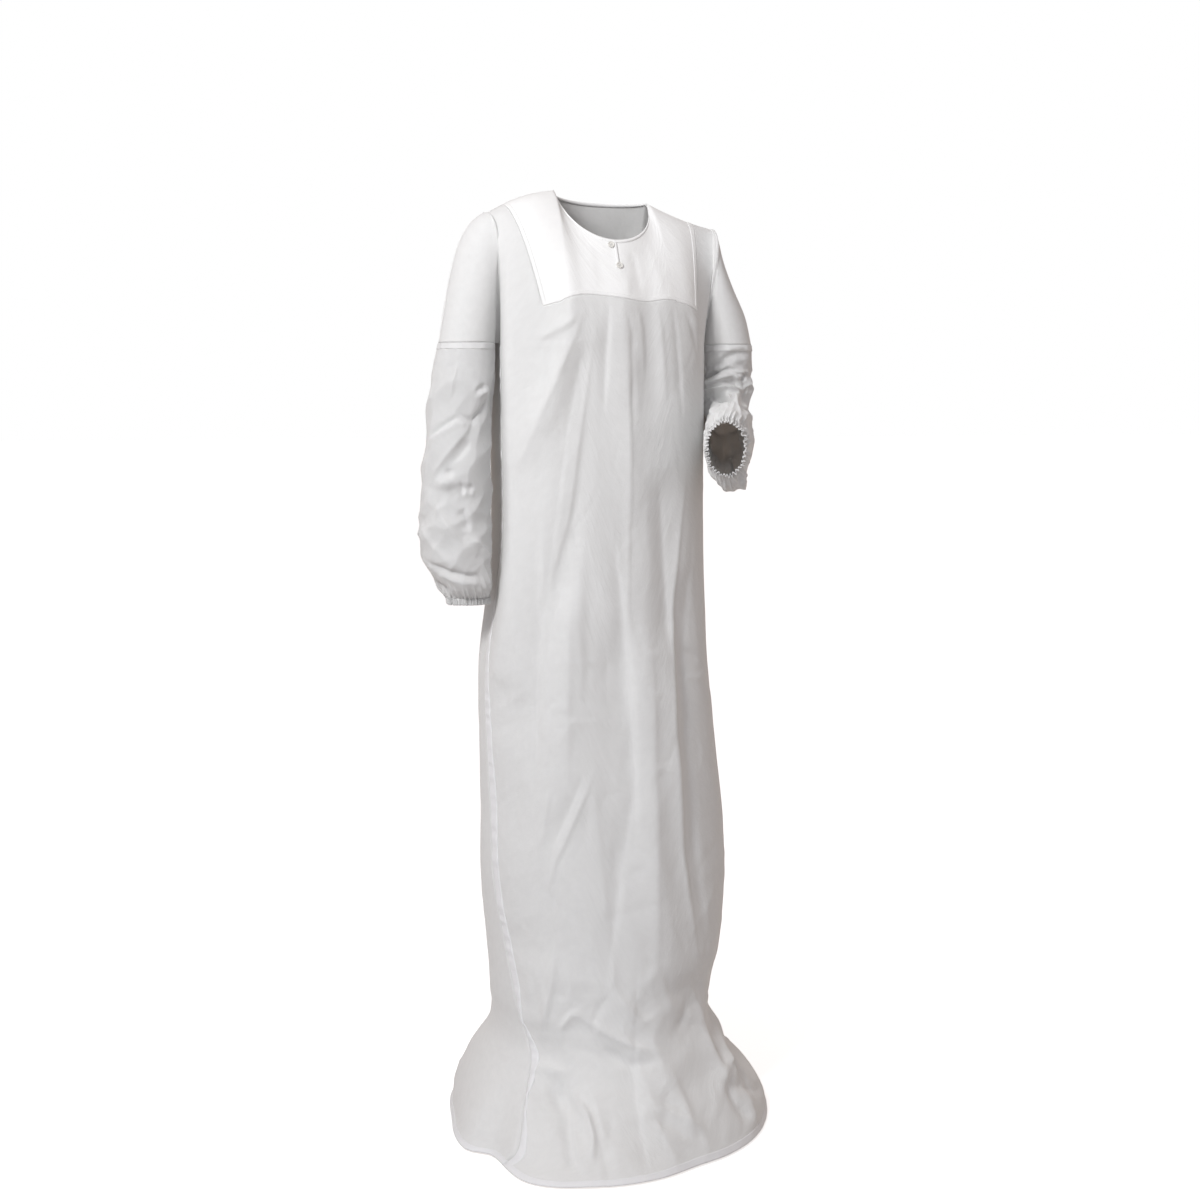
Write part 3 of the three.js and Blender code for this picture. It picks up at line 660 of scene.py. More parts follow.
class WornForm:
    """The smooth form of the worn cloth, before its smaller folds."""

    def __init__(self, sizes: BodySizes) -> None:
        """Draws the lines of every table once."""
        self.sizes = sizes
        self.rings = {name: BODY_RINGS.line("z", name) for name in BODY_RINGS.names[1:]}
        self.hem_reach = HEM_SPREAD.line("turn", "reach")
        self.shapes = {
            Face.FRONT: {name: FRONT_SHAPE.line("turn", name) for name in ("across", "out")},
            Face.BACK: {name: BACK_SHAPE.line("turn", name) for name in ("across", "out")},
        }
        self.seams = {
            Side.RIGHT: SIDE_SEAMS.line("z", "right"),
            Side.LEFT: SIDE_SEAMS.line("z", "left"),
        }
        self.overarm = {
            Side.RIGHT: OVERARM.line("down", "right"),
            Side.LEFT: OVERARM.line("down", "left"),
        }
        self.yoke_hem = YOKE_HEM.line("across", "height")

    def of_side(self, side: Side, name: str) -> float:
        """Returns a size that differs between the two sides."""
        return getattr(self.sizes, f"{name}_{side.name.lower()}")

    def folds(self, table: Table, x: Array, z: Array) -> Array:
        """Returns the lift of one face's main folds.

        Args:
            table: the face's folds.
            x: places across the face.
            z: their heights.

        Returns:
            The lift of each place, in millimetres.
        """
        s = self.sizes
        lift = np.zeros(x.shape)
        for top_x, top_z, bottom_x, bottom_z, width, out in table.rows:
            share = (top_z - z) / (top_z - bottom_z)
            away = (x - mix(top_x, bottom_x, share)) / width
            ends = np.minimum(1, share * s.fold_start) * np.minimum(1, (1 - share) * s.fold_end)
            lift += np.where((share > 0) & (share < 1), out * ends * np.exp(-away * away), 0)
        return lift

    def lowered(self, x: Array, y: Array, z: Array) -> Array:
        """Stacks coordinates, with the left shoulder a little lower than the right."""
        share = smooth(z, ARMHOLE_HEIGHT, self.sizes.full_drop_from)
        return np.stack([x, y, z - self.sizes.shoulder_drop * x * share], -1)

    def ring(self, turn: Array, z: Array) -> Array:
        """Returns points on the body's level rings.

        Args:
            turn: degrees from the middle of the front, the wearer's right negative.
            z: heights above the ground.

        Returns:
            One point for each turn and height.
        """
        turn, z = np.broadcast_arrays(np.asarray(turn, float), np.asarray(z, float))
        side = np.where(turn < 0, -1.0, 1.0)
        front = np.abs(turn) <= 90
        face = np.where(front, -1.0, 1.0)
        share = np.where(front, np.abs(turn), 180 - np.abs(turn)) / 90
        box = self.rings["box"](z) * np.where(side < 0, 1, self.sizes.box_left)
        half = self.rings["half"](z)
        depth = np.where(front, self.rings["front"](z), self.rings["back"](z))
        pair = [self.shapes[f] for f in (Face.FRONT, Face.BACK)]
        across = np.where(front, pair[0]["across"](share), pair[1]["across"](share))
        out = np.where(front, pair[0]["out"](share), pair[1]["out"](share))
        across = mix(np.sin(share * math.pi / 2), across, box)
        out = mix(np.cos(share * math.pi / 2), out, box)
        low = np.minimum(1, z / self.sizes.hem_spread_below)
        spread = mix(self.hem_reach(turn), 1, low)
        x = side * half * across * spread
        y = face * depth * out * spread
        lift = np.where(front, self.folds(FRONT_FOLDS, x, z), self.folds(BACK_FOLDS, x, z)) * out
        x = x + self.rings["shift"](z) + lift * x / (2 * half)
        return np.stack([x, y + face * lift, z], -1)

    def top_edge(self, face: Face, side: Side, turn: Array) -> Array:
        """Returns points of the neckline and then of the shoulder line.

        Args:
            face: the front or the back.
            side: the wearer's side.
            turn: the way from the middle, 0, to the side, 1.

        Returns:
            One point for each turn.
        """
        s = self.sizes
        depth = s.neck_front_depth if face is Face.FRONT else s.neck_back_depth
        low = s.neck_front_height if face is Face.FRONT else s.neck_back_height
        high = self.of_side(side, "neck_side")
        angle = np.minimum(turn / s.neck_share, 1) * math.pi / 2
        neck_x = s.neck_half_width * np.sin(angle)
        neck_y = face.value * depth * np.cos(angle)
        neck_z = mix(low, high, 1 - np.cos(angle))
        share = np.maximum((turn - s.neck_share) / (1 - s.neck_share), 0)
        reach = np.minimum(1, share / s.slope_share)
        rounding = np.maximum(0, share - s.slope_share) * s.tip_rounding
        x = mix(s.neck_half_width, s.slope_end, reach) + rounding
        bow = self.of_side(side, "bow") * np.sin(math.pi * reach)
        z = mix(high, s.shoulder_height, reach) + bow
        on_neck = turn <= s.neck_share
        return np.stack(
            [
                side.value * np.where(on_neck, neck_x, x),
                np.where(on_neck, neck_y, 0),
                np.where(on_neck, neck_z, z),
            ],
            -1,
        )

    def valley(self, face: Face, down: Array) -> Array:
        """Returns how deep the cloth dips between chest and arm."""
        dip = np.sin(math.pi * np.sqrt(np.clip(down, 0, 1)))
        return face.value * self.sizes.valley_depth * np.where(down < 1, dip, 0)

    def chest(self, face: Face, side: Side, turn: Array, down: Array) -> Array:
        """Returns points above the armholes' level.

        Args:
            face: the front or the back.
            side: the wearer's side.
            turn: the way from the middle, 0, to the side, 1.
            down: the way from the top edge, 0, to the armholes' level, 1.

        Returns:
            One point for each turn and way down.
        """
        s = self.sizes
        top = self.top_edge(face, side, turn)
        degrees = turn * 90 if face is Face.FRONT else 180 - turn * 90
        level = self.ring(side.value * degrees, ARMHOLE_HEIGHT)
        power = mix(1, s.chest_side_power, smooth(turn, 0, s.chest_flat_to))
        rounded = np.sin(math.pi / 2 * down**power)
        valley = self.valley(face, down) * turn**s.valley_power
        x = mix(top[..., 0], level[..., 0], down**s.chest_width_power)
        y = mix(top[..., 1], level[..., 1], rounded) + valley
        return self.lowered(x, y, mix(top[..., 2], ARMHOLE_HEIGHT, down))

    def arm(self, face: Face, side: Side, share: Array, down: Array) -> Array:
        """Returns points over the upper arm.

        Args:
            face: the front or the back.
            side: the wearer's side.
            share: the way from the valley beside the chest, 0, to the overarm, 1.
            down: the way from the shoulder, 0, to the armholes' level, 1.

        Returns:
            One point for each share and way down.
        """
        s = self.sizes
        inner = mix(s.shoulder_tip, s.underarm_inner, down**s.arm_width_power)
        depth = s.arm_front_depth if face is Face.FRONT else s.arm_back_depth
        swell = np.sin(math.pi * share) * down**s.arm_depth_power
        x = side.value * mix(inner, self.overarm[side](down), (1 - np.cos(math.pi * share)) / 2)
        under = np.minimum(1, share * s.underarm_reach)
        y = s.underarm_y * down * under + face.value * depth * swell
        y = y + self.valley(face, down) * (1 - share) ** 2
        return self.lowered(x, y, mix(s.shoulder_height, ARMHOLE_HEIGHT, down))

    def column_turn(self, side: Side, column: Array, down: Array) -> Array:
        """Returns the turn of a column, which bends with the yoke's side seam.

        Args:
            side: the wearer's side.
            column: places across, in columns.
            down: the way from the top edge, 0, to the armholes' level, 1.

        Returns:
            The way from the middle, 0, to the side, 1.
        """
        top = self.of_side(side, "yoke_top_turn")
        hem = self.of_side(side, "yoke_hem_turn")
        low = np.minimum(1, down / self.sizes.yoke_hem_down)
        outer = (column - YOKE_COLUMN) / (PANEL_EDGE - YOKE_COLUMN)
        beyond = mix(mix(top, 1, outer), mix(hem, 1, outer), low)
        neck = self.sizes.neck_share
        over_neck = neck * column / NECK_COLUMN
        over_yoke = mix(neck, top, (column - NECK_COLUMN) / (YOKE_COLUMN - NECK_COLUMN))
        at_top = np.where(column > NECK_COLUMN, over_yoke, over_neck)
        within = mix(at_top, hem * column / YOKE_COLUMN, low)
        return np.where(column > YOKE_COLUMN, beyond, within)

    def row_down(self, side: Side, column: Array, row: Array) -> Array:
        """Returns how far down a row of the front is.

        Args:
            side: the wearer's side.
            column: places across, in columns.
            row: places down, in rows.

        Returns:
            Shares of the way from the top edge to the armholes' level.
        """
        hem_turn = self.of_side(side, "yoke_hem_turn")
        turn = hem_turn * np.minimum(column, YOKE_COLUMN) / YOKE_COLUMN
        height = self.yoke_hem(side.value * turn / hem_turn)
        top = self.top_edge(Face.FRONT, side, turn)[..., 2]
        hem = (top - height) / (top - ARMHOLE_HEIGHT)
        yoke = hem * (np.minimum(row, YOKE_ROW) / YOKE_ROW) ** self.sizes.yoke_row_power
        below = mix(hem, 1, (row - YOKE_ROW) / (ARMHOLE_ROW - YOKE_ROW))
        return np.where(row <= YOKE_ROW, yoke, below)

    def back_down(self, side: Side, column: Array, row: Array) -> Array:
        """Returns how far down a row of the back is; it meets the front's at the sides.

        Args:
            side: the wearer's side.
            column: places across, in columns.
            row: places down, in rows.

        Returns:
            Shares of the way from the top edge to the armholes' level.
        """
        edge = np.full(np.shape(row), float(PANEL_EDGE))
        other = Side.LEFT if side is Side.RIGHT else Side.RIGHT
        own = self.row_down(side, edge, row)
        middle = (own + self.row_down(other, edge, row)) / 2
        return mix(middle, own, np.minimum(1, column / PANEL_EDGE))

    def upper(self, face: Face, side: Side, column: Array, row: Array) -> Array:
        """Returns points of a panel above the armholes' level.

        Args:
            face: the front or the back.
            side: the wearer's side.
            column: places across, in columns.
            row: places down, in rows.

        Returns:
            One point for each column and row.
        """
        chest_column = np.minimum(column, PANEL_EDGE)
        if face is Face.FRONT:
            down = self.row_down(side, chest_column, row)
            arm_down = self.row_down(side, np.full(column.shape, float(PANEL_EDGE)), row)
        else:
            down = self.back_down(side, chest_column, row)
            arm_down = self.back_down(side, np.full(column.shape, float(PANEL_EDGE)), row)
        chest = self.chest(face, side, self.column_turn(side, chest_column, down), down)
        share = np.clip((column - ARM_START) / (ARM_EDGE - ARM_START), 0, 1)
        arm = self.arm(face, side, share, arm_down)
        across = np.clip(column - PANEL_EDGE, 0, 1)[..., None]
        return mix(chest, arm, across)

    def lower(self, face: Face, side: Side, column: Array, z: Array) -> Array:
        """Returns points of a panel below the armholes' level.

        Args:
            face: the front or the back.
            side: the wearer's side.
            column: places across, in columns.
            z: heights above the ground.

        Returns:
            One point for each column and height.
        """
        seam = self.seams[side](z)
        turn = self.column_turn(side, column, np.ones(column.shape))
        degrees = turn * seam if face is Face.FRONT else 180 - (180 - seam) * turn
        return self.ring(side.value * degrees, z)


FRONT_CREASES = creases(
    (((-59, 1300), (-102, 1201), (-135, 1124), (-161, 1046)), 7, 2.2, 0.7),
    (((-46, 1262), (-68, 1125), (-91, 971), (-127, 847)), 8, 2.4, 0.7),
    (((-56, 1269), (-88, 1128), (-109, 991), (-132, 798), (-141, 569), (-144, 414)), 9, -2.0),
    (((-140, 846), (-146, 690), (-149, 537)), 8, 2.0, 0.6),
    (((-93, 848), (-98, 690), (-101, 541)), 10, 2.0, 0.5),
    (((-161, 690), (-166, 456)), 9, -2.0),
    (((-22, 942), (-12, 850), (-4, 693), (2, 569), (2, 445)), 12, -4.6, 0.1),
    (((2, 560), (-30, 387), (-53, 234)), 12, -3.0),
    (((36, 784), (37, 537), (30, 228)), 10, 2.4, 0.6),
    (((108, 1030), (80, 845), (75, 667), (85, 440), (102, 320), (116, 241)), 9, 5.0, 0.9),
    (((124, 960), (100, 760), (100, 600), (110, 440), (132, 260)), 16, -4.5, 0.1),
    (((-136, 974), (-140, 850), (-144, 694), (-145, 540)), 14, -5.5, 0.1),
    (((-71, 925), (-81, 818), (-78, 690)), 18, 3.4, 0.1),
    (((-58, 588), (-87, 516), (-117, 445), (-134, 381)), 5, 3.2, 0.9, 20),
    (((-76, 580), (-100, 520), (-126, 455)), 7, -2.6, 0.4, 20),
    (((-123, 570), (-130, 494), (-147, 429)), 5, 2.5, 0.9, 20),
    (((60, 1031), (68, 845), (74, 720)), 9, -2.2),
    (((-5, 1305), (7, 1262), (6, 1001), (-2, 786)), 5, 1.8, 0.8),
    (((4, 1303), (15, 1255), (14, 1110)), 6, -1.8, 0.5),
    (((123, 1293), (136, 1276), (145, 1258)), 6, 2.6, 0.6),
    (((110, 1296), (128, 1262), (136, 1225)), 6, -2.4, 0.4),
    (((-57, 603), (-59, 542), (-37, 242), (21, 156)), 12, 2.2, 0.5),
    (((-70, 1290), (-88, 1272), (-122, 1252), (-134, 1240)), 9, 3.6, 0.7, 20),
    (((-150, 1240), (-110, 1238), (-76, 1241)), 3.5, 1.2, 0.8, 15),
    (((-122, 1238), (-124, 1195), (-126, 1156)), 3.5, 1.2, 0.8, 15),
    (((-156, 1166), (-118, 1158)), 3.5, 1.2, 0.8, 12),
    (((44, 1196), (74, 1200), (104, 1207)), 3.5, 1.0, 0.8, 15),
    (((-121, 753), (-37, 753)), 3.0, 1.1, 0.8, 20),
    (((22, 764), (60, 764)), 3.0, 1.1, 0.8, 10),
    (((24, 704), (56, 699)), 3.5, 1.7, 0.8, 10),
    (((-125, 683), (-94, 683)), 4.0, 1.7, 0.8, 10),
    (((-150, 664), (-70, 660), (12, 665)), 3.5, 0.8, 0.8, 25),
    (((86, 726), (126, 716), (168, 721)), 4.5, 2.0, 0.8, 16),
    (((96, 764), (118, 758), (138, 742)), 4.5, -2.2, 0.6, 12),
    (((36, 591), (71, 575)), 4.5, 2.0, 0.8, 10),
    (((24, 1304), (30, 1260), (34, 1190)), 7, 2.2, 0.4),
    (((60, 1303), (66, 1240), (72, 1150)), 8, 2.4, 0.4),
    (((88, 1302), (94, 1240), (104, 1120)), 7, -2.2, 0.3),
    (((-22, 1306), (-28, 1240), (-34, 1130)), 7, -2.4, 0.3),
    (((-92, 210), (-50, 182), (-8, 160), (30, 154)), 6, 4.5, 0.9, 16),
    (((-72, 168), (-24, 140), (24, 142)), 10, -5.0, 0.2, 16),
    (((-36, 240), (-14, 219), (6, 198)), 5, 3.5, 0.8, 12),
    (((-162, 106), (-142, 124), (-107, 121)), 8, 7.0, 0.6, 12),
    (((-150, 92), (-126, 98), (-112, 80)), 14, -9.0, 0.1, 12),
    (((-156, 112), (-172, 80), (-196, 45), (-210, 14)), 9, 7.0, 0.6, 16),
    (((-114, 100), (-99, 75), (-100, 50), (-112, 28)), 7, 7.0, 0.7, 12),
    (((-122, 84), (-133, 59), (-138, 30), (-126, 8)), 8, -7.0, 0.4, 12),
    (((-8, 92), (36, 68), (88, 40)), 7, 4.5, 0.7, 14),
    (((-18, 67), (43, 35), (64, 18)), 6, 3.0, 0.7, 12),
    (((182, 108), (158, 101), (171, 74)), 7, 6.0, 0.7, 10),
    (((138, 86), (190, 62), (252, 30)), 6, -3.6, 0.5, 14),
    (((133, 88), (156, 53), (184, 26)), 8, -5.5, 0.4, 14),
    (((-118, 330), (-125, 251), (-136, 160)), 7, 4.4, 0.8, 20),
    (((169, 165), (157, 106), (120, 70)), 10, 5.0, 0.4, 16),
    (((-118, 178), (-96, 208), (-74, 208)), 5, 3.0, 0.7, 12),
    (((-10, 180), (-26, 90), (-30, 16)), 13, -3.0, 0.4, 30),
    (((40, 130), (54, 80), (60, 20)), 12, 3.0, 0.5, 20),
    (((100, 240), (124, 130), (150, 40)), 12, 4.0, 0.5, 30),
    (((150, 200), (176, 110), (205, 40)), 12, -4.0, 0.4, 30),
    (((-200, 60), (-236, 30), (-246, 8)), 9, -4.0, 0.4, 14),
)
YOKE_CREASES = creases(
    (((27, 1392), (30, 1350), (34, 1316)), 9, -1.8, 0.2, 15),
    (((12, 1345), (10, 1328), (14, 1312)), 6, 1.1, 0.5, 10),
    (((58, 1400), (64, 1356), (72, 1318)), 12, 1.0, 0.1, 20),
    (((-40, 1398), (-44, 1352), (-40, 1318)), 13, 0.9, 0.1, 20),
    (((-82, 1420), (-84, 1368), (-78, 1322)), 12, -0.8, 0.1, 20),
)
BACK_CREASES = creases(
    (((-100, 1380), (-116, 1200), (-124, 980)), 8, 2.2, 0.6),
    (((-40, 1400), (-36, 1180), (-32, 820)), 9, 2.2, 0.6),
    (((20, 1400), (14, 1150), (10, 800)), 9, -2.2, 0.4),
    (((70, 1390), (60, 1160), (66, 820)), 8, 2.2, 0.6),
    (((120, 1370), (128, 1160), (134, 900)), 8, -2.0, 0.5),
    (((-150, 1180), (-60, 1186), (40, 1180)), 3.5, 0.8, 0.8, 25),
    (((-60, 760), (40, 764), (140, 758)), 3.5, 0.8, 0.8, 25),
    (((-130, 700), (-136, 420), (-150, 200)), 10, 2.4, 0.6),
    (((-60, 640), (-80, 380), (-100, 160)), 11, -2.4, 0.4),
    (((0, 700), (4, 420), (10, 150)), 11, 2.4, 0.6),
    (((80, 660), (96, 400), (120, 150)), 10, -2.4, 0.4),
    (((140, 560), (150, 320), (176, 120)), 10, 2.4, 0.6),
    (((-120, 130), (-140, 60), (-150, 12)), 13, 4.0, 0.5, 30),
    (((-40, 140), (-50, 60), (-56, 12)), 13, -4.0, 0.4, 30),
    (((60, 140), (76, 60), (84, 12)), 13, 4.0, 0.5, 30),
)
BODY_CRUMPLES = (
    Crumples((-170, 170), (700, 1240), 60, 4, 22, (40, 130), (5, 9), 0.8, seed=3),
    Crumples((-200, 200), (180, 700), 90, 8, 34, (50, 150), (6, 11), 1.3, seed=5),
    Crumples((-230, 240), (10, 260), 50, 20, 45, (40, 110), (6, 11), 2.0, seed=8),
)
FACET_SHIFT = {Face.FRONT: 0.0, Face.BACK: 35.0}
BODY_FACETS = (
    Facets((-190, 190), (640, 1250), 58, 2.6, 4, 0.05, seed=61),
    Facets((-210, 210), (240, 660), 50, 2.2, 8, 0.09, seed=62),
    Facets((-260, 270), (0, 250), 46, 1.6, 14, 0.17, seed=63),
)


# Creases of the sleeves: degrees round from the side next to the body by the front, and
# millimetres down from the armhole. A degree is close to a millimetre of cloth.
SLEEVE_RIGHT_CREASES = creases(
    (((167, 148), (136, 130), (106, 114)), 7, -4.5, 0.6, 12),
    (((165, 160), (112, 126), (86, 126)), 8, 3.4, 0.7, 14),
    (((106, 112), (82, 121), (64, 105), (52, 84)), 6, -3.4, 0.6, 12),
    (((83, 85), (60, 76), (45, 70)), 6, 3.2, 0.9, 10),
    (((84, 76), (62, 66)), 6, -3.0, 0.6, 10),
    (((116, 30), (120, 57), (124, 92)), 7, 1.6, 0.9, 12),
    (((116, 32), (96, 44), (78, 56)), 8, 1.3, 0.7, 12),
    (((82, 121), (116, 169), (146, 209)), 10, 3.6, 0.8, 16),
    (((83, 152), (100, 172), (114, 188)), 9, -3.0, 0.4, 12),
    (((118, 206), (117, 230)), 15, 4.2, 0.1, 10),
    (((98, 215), (94, 238)), 6, -3.2, 0.5, 8),
    (((126, 202), (108, 199)), 6, -3.0, 0.5, 8),
    (((98, 222), (86, 225), (74, 226)), 5, -3.4, 0.6, 8),
    (((97, 232), (84, 234), (72, 236)), 6, 2.6, 0.7, 8),
    (((141, 245), (116, 282), (92, 318)), 9, 4.0, 0.8, 16),
    (((94, 256), (86, 282), (82, 293)), 9, -3.8, 0.3, 12),
    (((83, 301), (48, 329), (37, 346)), 9, 3.4, 0.8, 14),
    (((178, 282), (146, 318), (113, 349)), 13, 2.2, 0.6, 18),
    (((178, 339), (128, 357), (98, 362), (73, 363), (56, 374)), 8, -4.6, 0.5, 12),
    (((150, 360), (126, 369), (96, 373), (70, 375)), 7, 3.4, 0.7, 12),
    (((184, 378), (160, 386), (138, 390)), 7, -3.6, 0.5, 10),
    (((60, 340), (46, 366), (40, 392)), 7, 3.0, 0.7, 12),
    (((210, 120), (240, 150), (262, 190)), 10, -3.6, 0.5, 16),
    (((214, 134), (246, 168), (266, 206)), 9, 3.2, 0.7, 16),
    (((290, 90), (262, 130), (246, 150)), 9, 3.0, 0.7, 14),
    (((330, 150), (300, 190), (286, 240)), 10, -3.4, 0.5, 16),
    (((240, 250), (268, 290), (300, 320)), 10, 3.6, 0.7, 16),
    (((320, 280), (290, 320), (250, 350)), 9, -3.6, 0.5, 16),
    (((200, 340), (240, 362), (290, 370), (330, 360)), 8, -4.0, 0.5, 14),
    (((350, 200), (380, 240), (400, 260)), 9, 2.6, 0.6, 14),
    (((36, 150), (36, 250)), 22, 1.6, 0.0, 40),
)
SLEEVE_LEFT_CREASES = creases(
    (((140, 14), (90, 16), (72, 24), (38, 38), (0, 44)), 11, -3.6, 0.3, 14),
    (((150, 2), (100, 4), (60, 10)), 12, 2.0, 0.2, 14),
    (((-11, 70), (27, 60), (72, 55), (86, 56)), 5.5, -5.4, 0.7, 10),
    (((-11, 84), (27, 75), (72, 69), (92, 68)), 10, 4.0, 0.6, 12),
    (((80, 60), (110, 60), (142, 56)), 5, 3.0, 0.9, 8),
    (((82, 64), (100, 84), (119, 103)), 6, 2.6, 0.9, 8),
    (((122, 102), (134, 80), (143, 60)), 6, 1.8, 0.8, 8),
    (((104, 74), (118, 80)), 10, -2.6, 0.2, 6),
    (((-9, 96), (29, 94), (70, 108), (94, 122), (130, 108)), 9, 4.4, 0.8, 14),
    (((-9, 110), (34, 112), (61, 137), (74, 220), (88, 300)), 9, -5.0, 0.5, 14),
    (((72, 113), (83, 190), (100, 280), (122, 322)), 8, 3.6, 0.8, 16),
    (((100, 150), (118, 200), (140, 250)), 12, -3.4, 0.3, 20),
    (((-9, 140), (20, 180), (44, 240)), 10, -3.4, 0.4, 16),
    (((10, 170), (34, 230), (52, 300)), 9, 3.0, 0.7, 16),
    (((150, 120), (164, 180), (170, 250)), 12, 3.0, 0.5, 20),
    (((186, 80), (200, 130), (196, 190)), 12, -4.0, 0.4, 18),
    (((160, 90), (180, 70), (210, 60)), 8, -3.6, 0.6, 12),
    (((210, 90), (250, 74), (300, 80)), 9, -4.2, 0.5, 16),
    (((206, 112), (250, 100), (300, 104)), 10, 3.6, 0.6, 16),
    (((220, 150), (236, 210), (240, 280)), 12, 3.2, 0.5, 18),
    (((270, 140), (280, 210), (276, 290)), 12, -3.6, 0.4, 18),
    (((310, 130), (320, 200), (310, 280)), 12, 3.0, 0.5, 18),
    (((128, 338), (146, 326), (168, 320)), 8, -3.4, 0.5, 10),
    (((229, 338), (240, 310), (246, 280)), 7, 3.0, 0.6, 12),
)
SLEEVE_RIGHT_CRUMPLES = (
    Crumples((0, 360), (30, 250), 30, 30, 50, (20, 60), (4, 8), 0.8, seed=21),
    Crumples((0, 360), (230, 390), 30, 60, 40, (20, 55), (4, 8), 1.2, seed=22),
)
SLEEVE_LEFT_CRUMPLES = (
    Crumples((0, 360), (10, 120), 24, 80, 40, (20, 60), (4, 8), 0.8, seed=31),
    Crumples((0, 360), (100, 320), 30, 10, 40, (24, 70), (4, 9), 1.2, seed=32),
)
SLEEVE_RIGHT_FACETS = (
    Facets((0, 360), (50, 240), 34, 1.5, 35, 0.26, seed=71),
    Facets((0, 360), (230, 380), 26, 1.6, 60, 0.34, seed=72),
)
SLEEVE_LEFT_FACETS = (
    Facets((0, 360), (30, 130), 26, 1.6, 75, 0.52, seed=73),
    Facets((0, 360), (120, 310), 22, 1.8, 10, 0.52, seed=74),
)


@dataclass
class Patch:
    """A grid of cloth: rows down it and columns across it, with outward normals."""

    points: Array
    normals: Array
    rows: Array
    columns: Array

    def sample(self, row: Array, column: Array) -> tuple[Array, Array]:
        """Returns the points and normals at places between the grid's own lines.

        Args:
            row: places down the cloth, in the grid's row values.
            column: places across the cloth, in the grid's column values.

        Returns:
            The points, and the normals there.
        """
        r = np.interp(row, self.rows, np.arange(len(self.rows)))
        c = np.interp(column, self.columns, np.arange(len(self.columns)))
        r0 = np.minimum(r.astype(int), len(self.rows) - 2)
        c0 = np.minimum(c.astype(int), len(self.columns) - 2)
        fr, fc = (r - r0)[..., None], (c - c0)[..., None]
        found = []
        for grid in (self.points, self.normals):
            top = mix(grid[r0, c0], grid[r0, c0 + 1], fc)
            low = mix(grid[r0 + 1, c0], grid[r0 + 1, c0 + 1], fc)
            found.append(mix(top, low, fr))
        return found[0], found[1]

    def across_one_mm(
        self, row: Array, column: Array, row_step: float, column_step: float
    ) -> tuple[Array, Array]:
        """Returns the change in row and column that crosses one millimetre of cloth.

        Args:
            row: the places' rows.
            column: the places' columns.
            row_step: a short way to go in rows.
            column_step: a short way to go in columns.

        Returns:
            The part of the change in rows, and the part in columns.
        """
        here, _ = self.sample(row, column)
        there, _ = self.sample(row + row_step, column + column_step)
        reach = np.linalg.norm(there - here, axis=-1)
        return row_step / reach, column_step / reach


def grid_normals(points: Array, flip: float) -> Array:
    """Returns unit normals over a grid of points.

    Args:
        points: rows by columns of points.
        flip: 1 where columns run to the left of rows seen from outside, otherwise -1.

    Returns:
        Rows by columns of unit normals.
    """
    down = np.gradient(points, axis=0)
    across = np.gradient(points, axis=1)
    normals = np.cross(down, across) * flip
    size = np.linalg.norm(normals, axis=-1, keepdims=True)
    return normals / np.maximum(size, 1e-9)


def all_cells(points: Array) -> Array:
    """Returns a mask that keeps every cell of a grid of points."""
    return np.ones((points.shape[0] - 1, points.shape[1] - 1), bool)


def arc_lengths(points: Array, axis: int) -> Array:
    """Returns the distance along the cloth to each point of a grid, along one axis."""
    steps = np.linalg.norm(np.diff(points, axis=axis), axis=-1)
    start = np.zeros_like(np.take(steps, [0], axis=axis))
    return np.concatenate([start, np.cumsum(steps, axis=axis)], axis=axis)


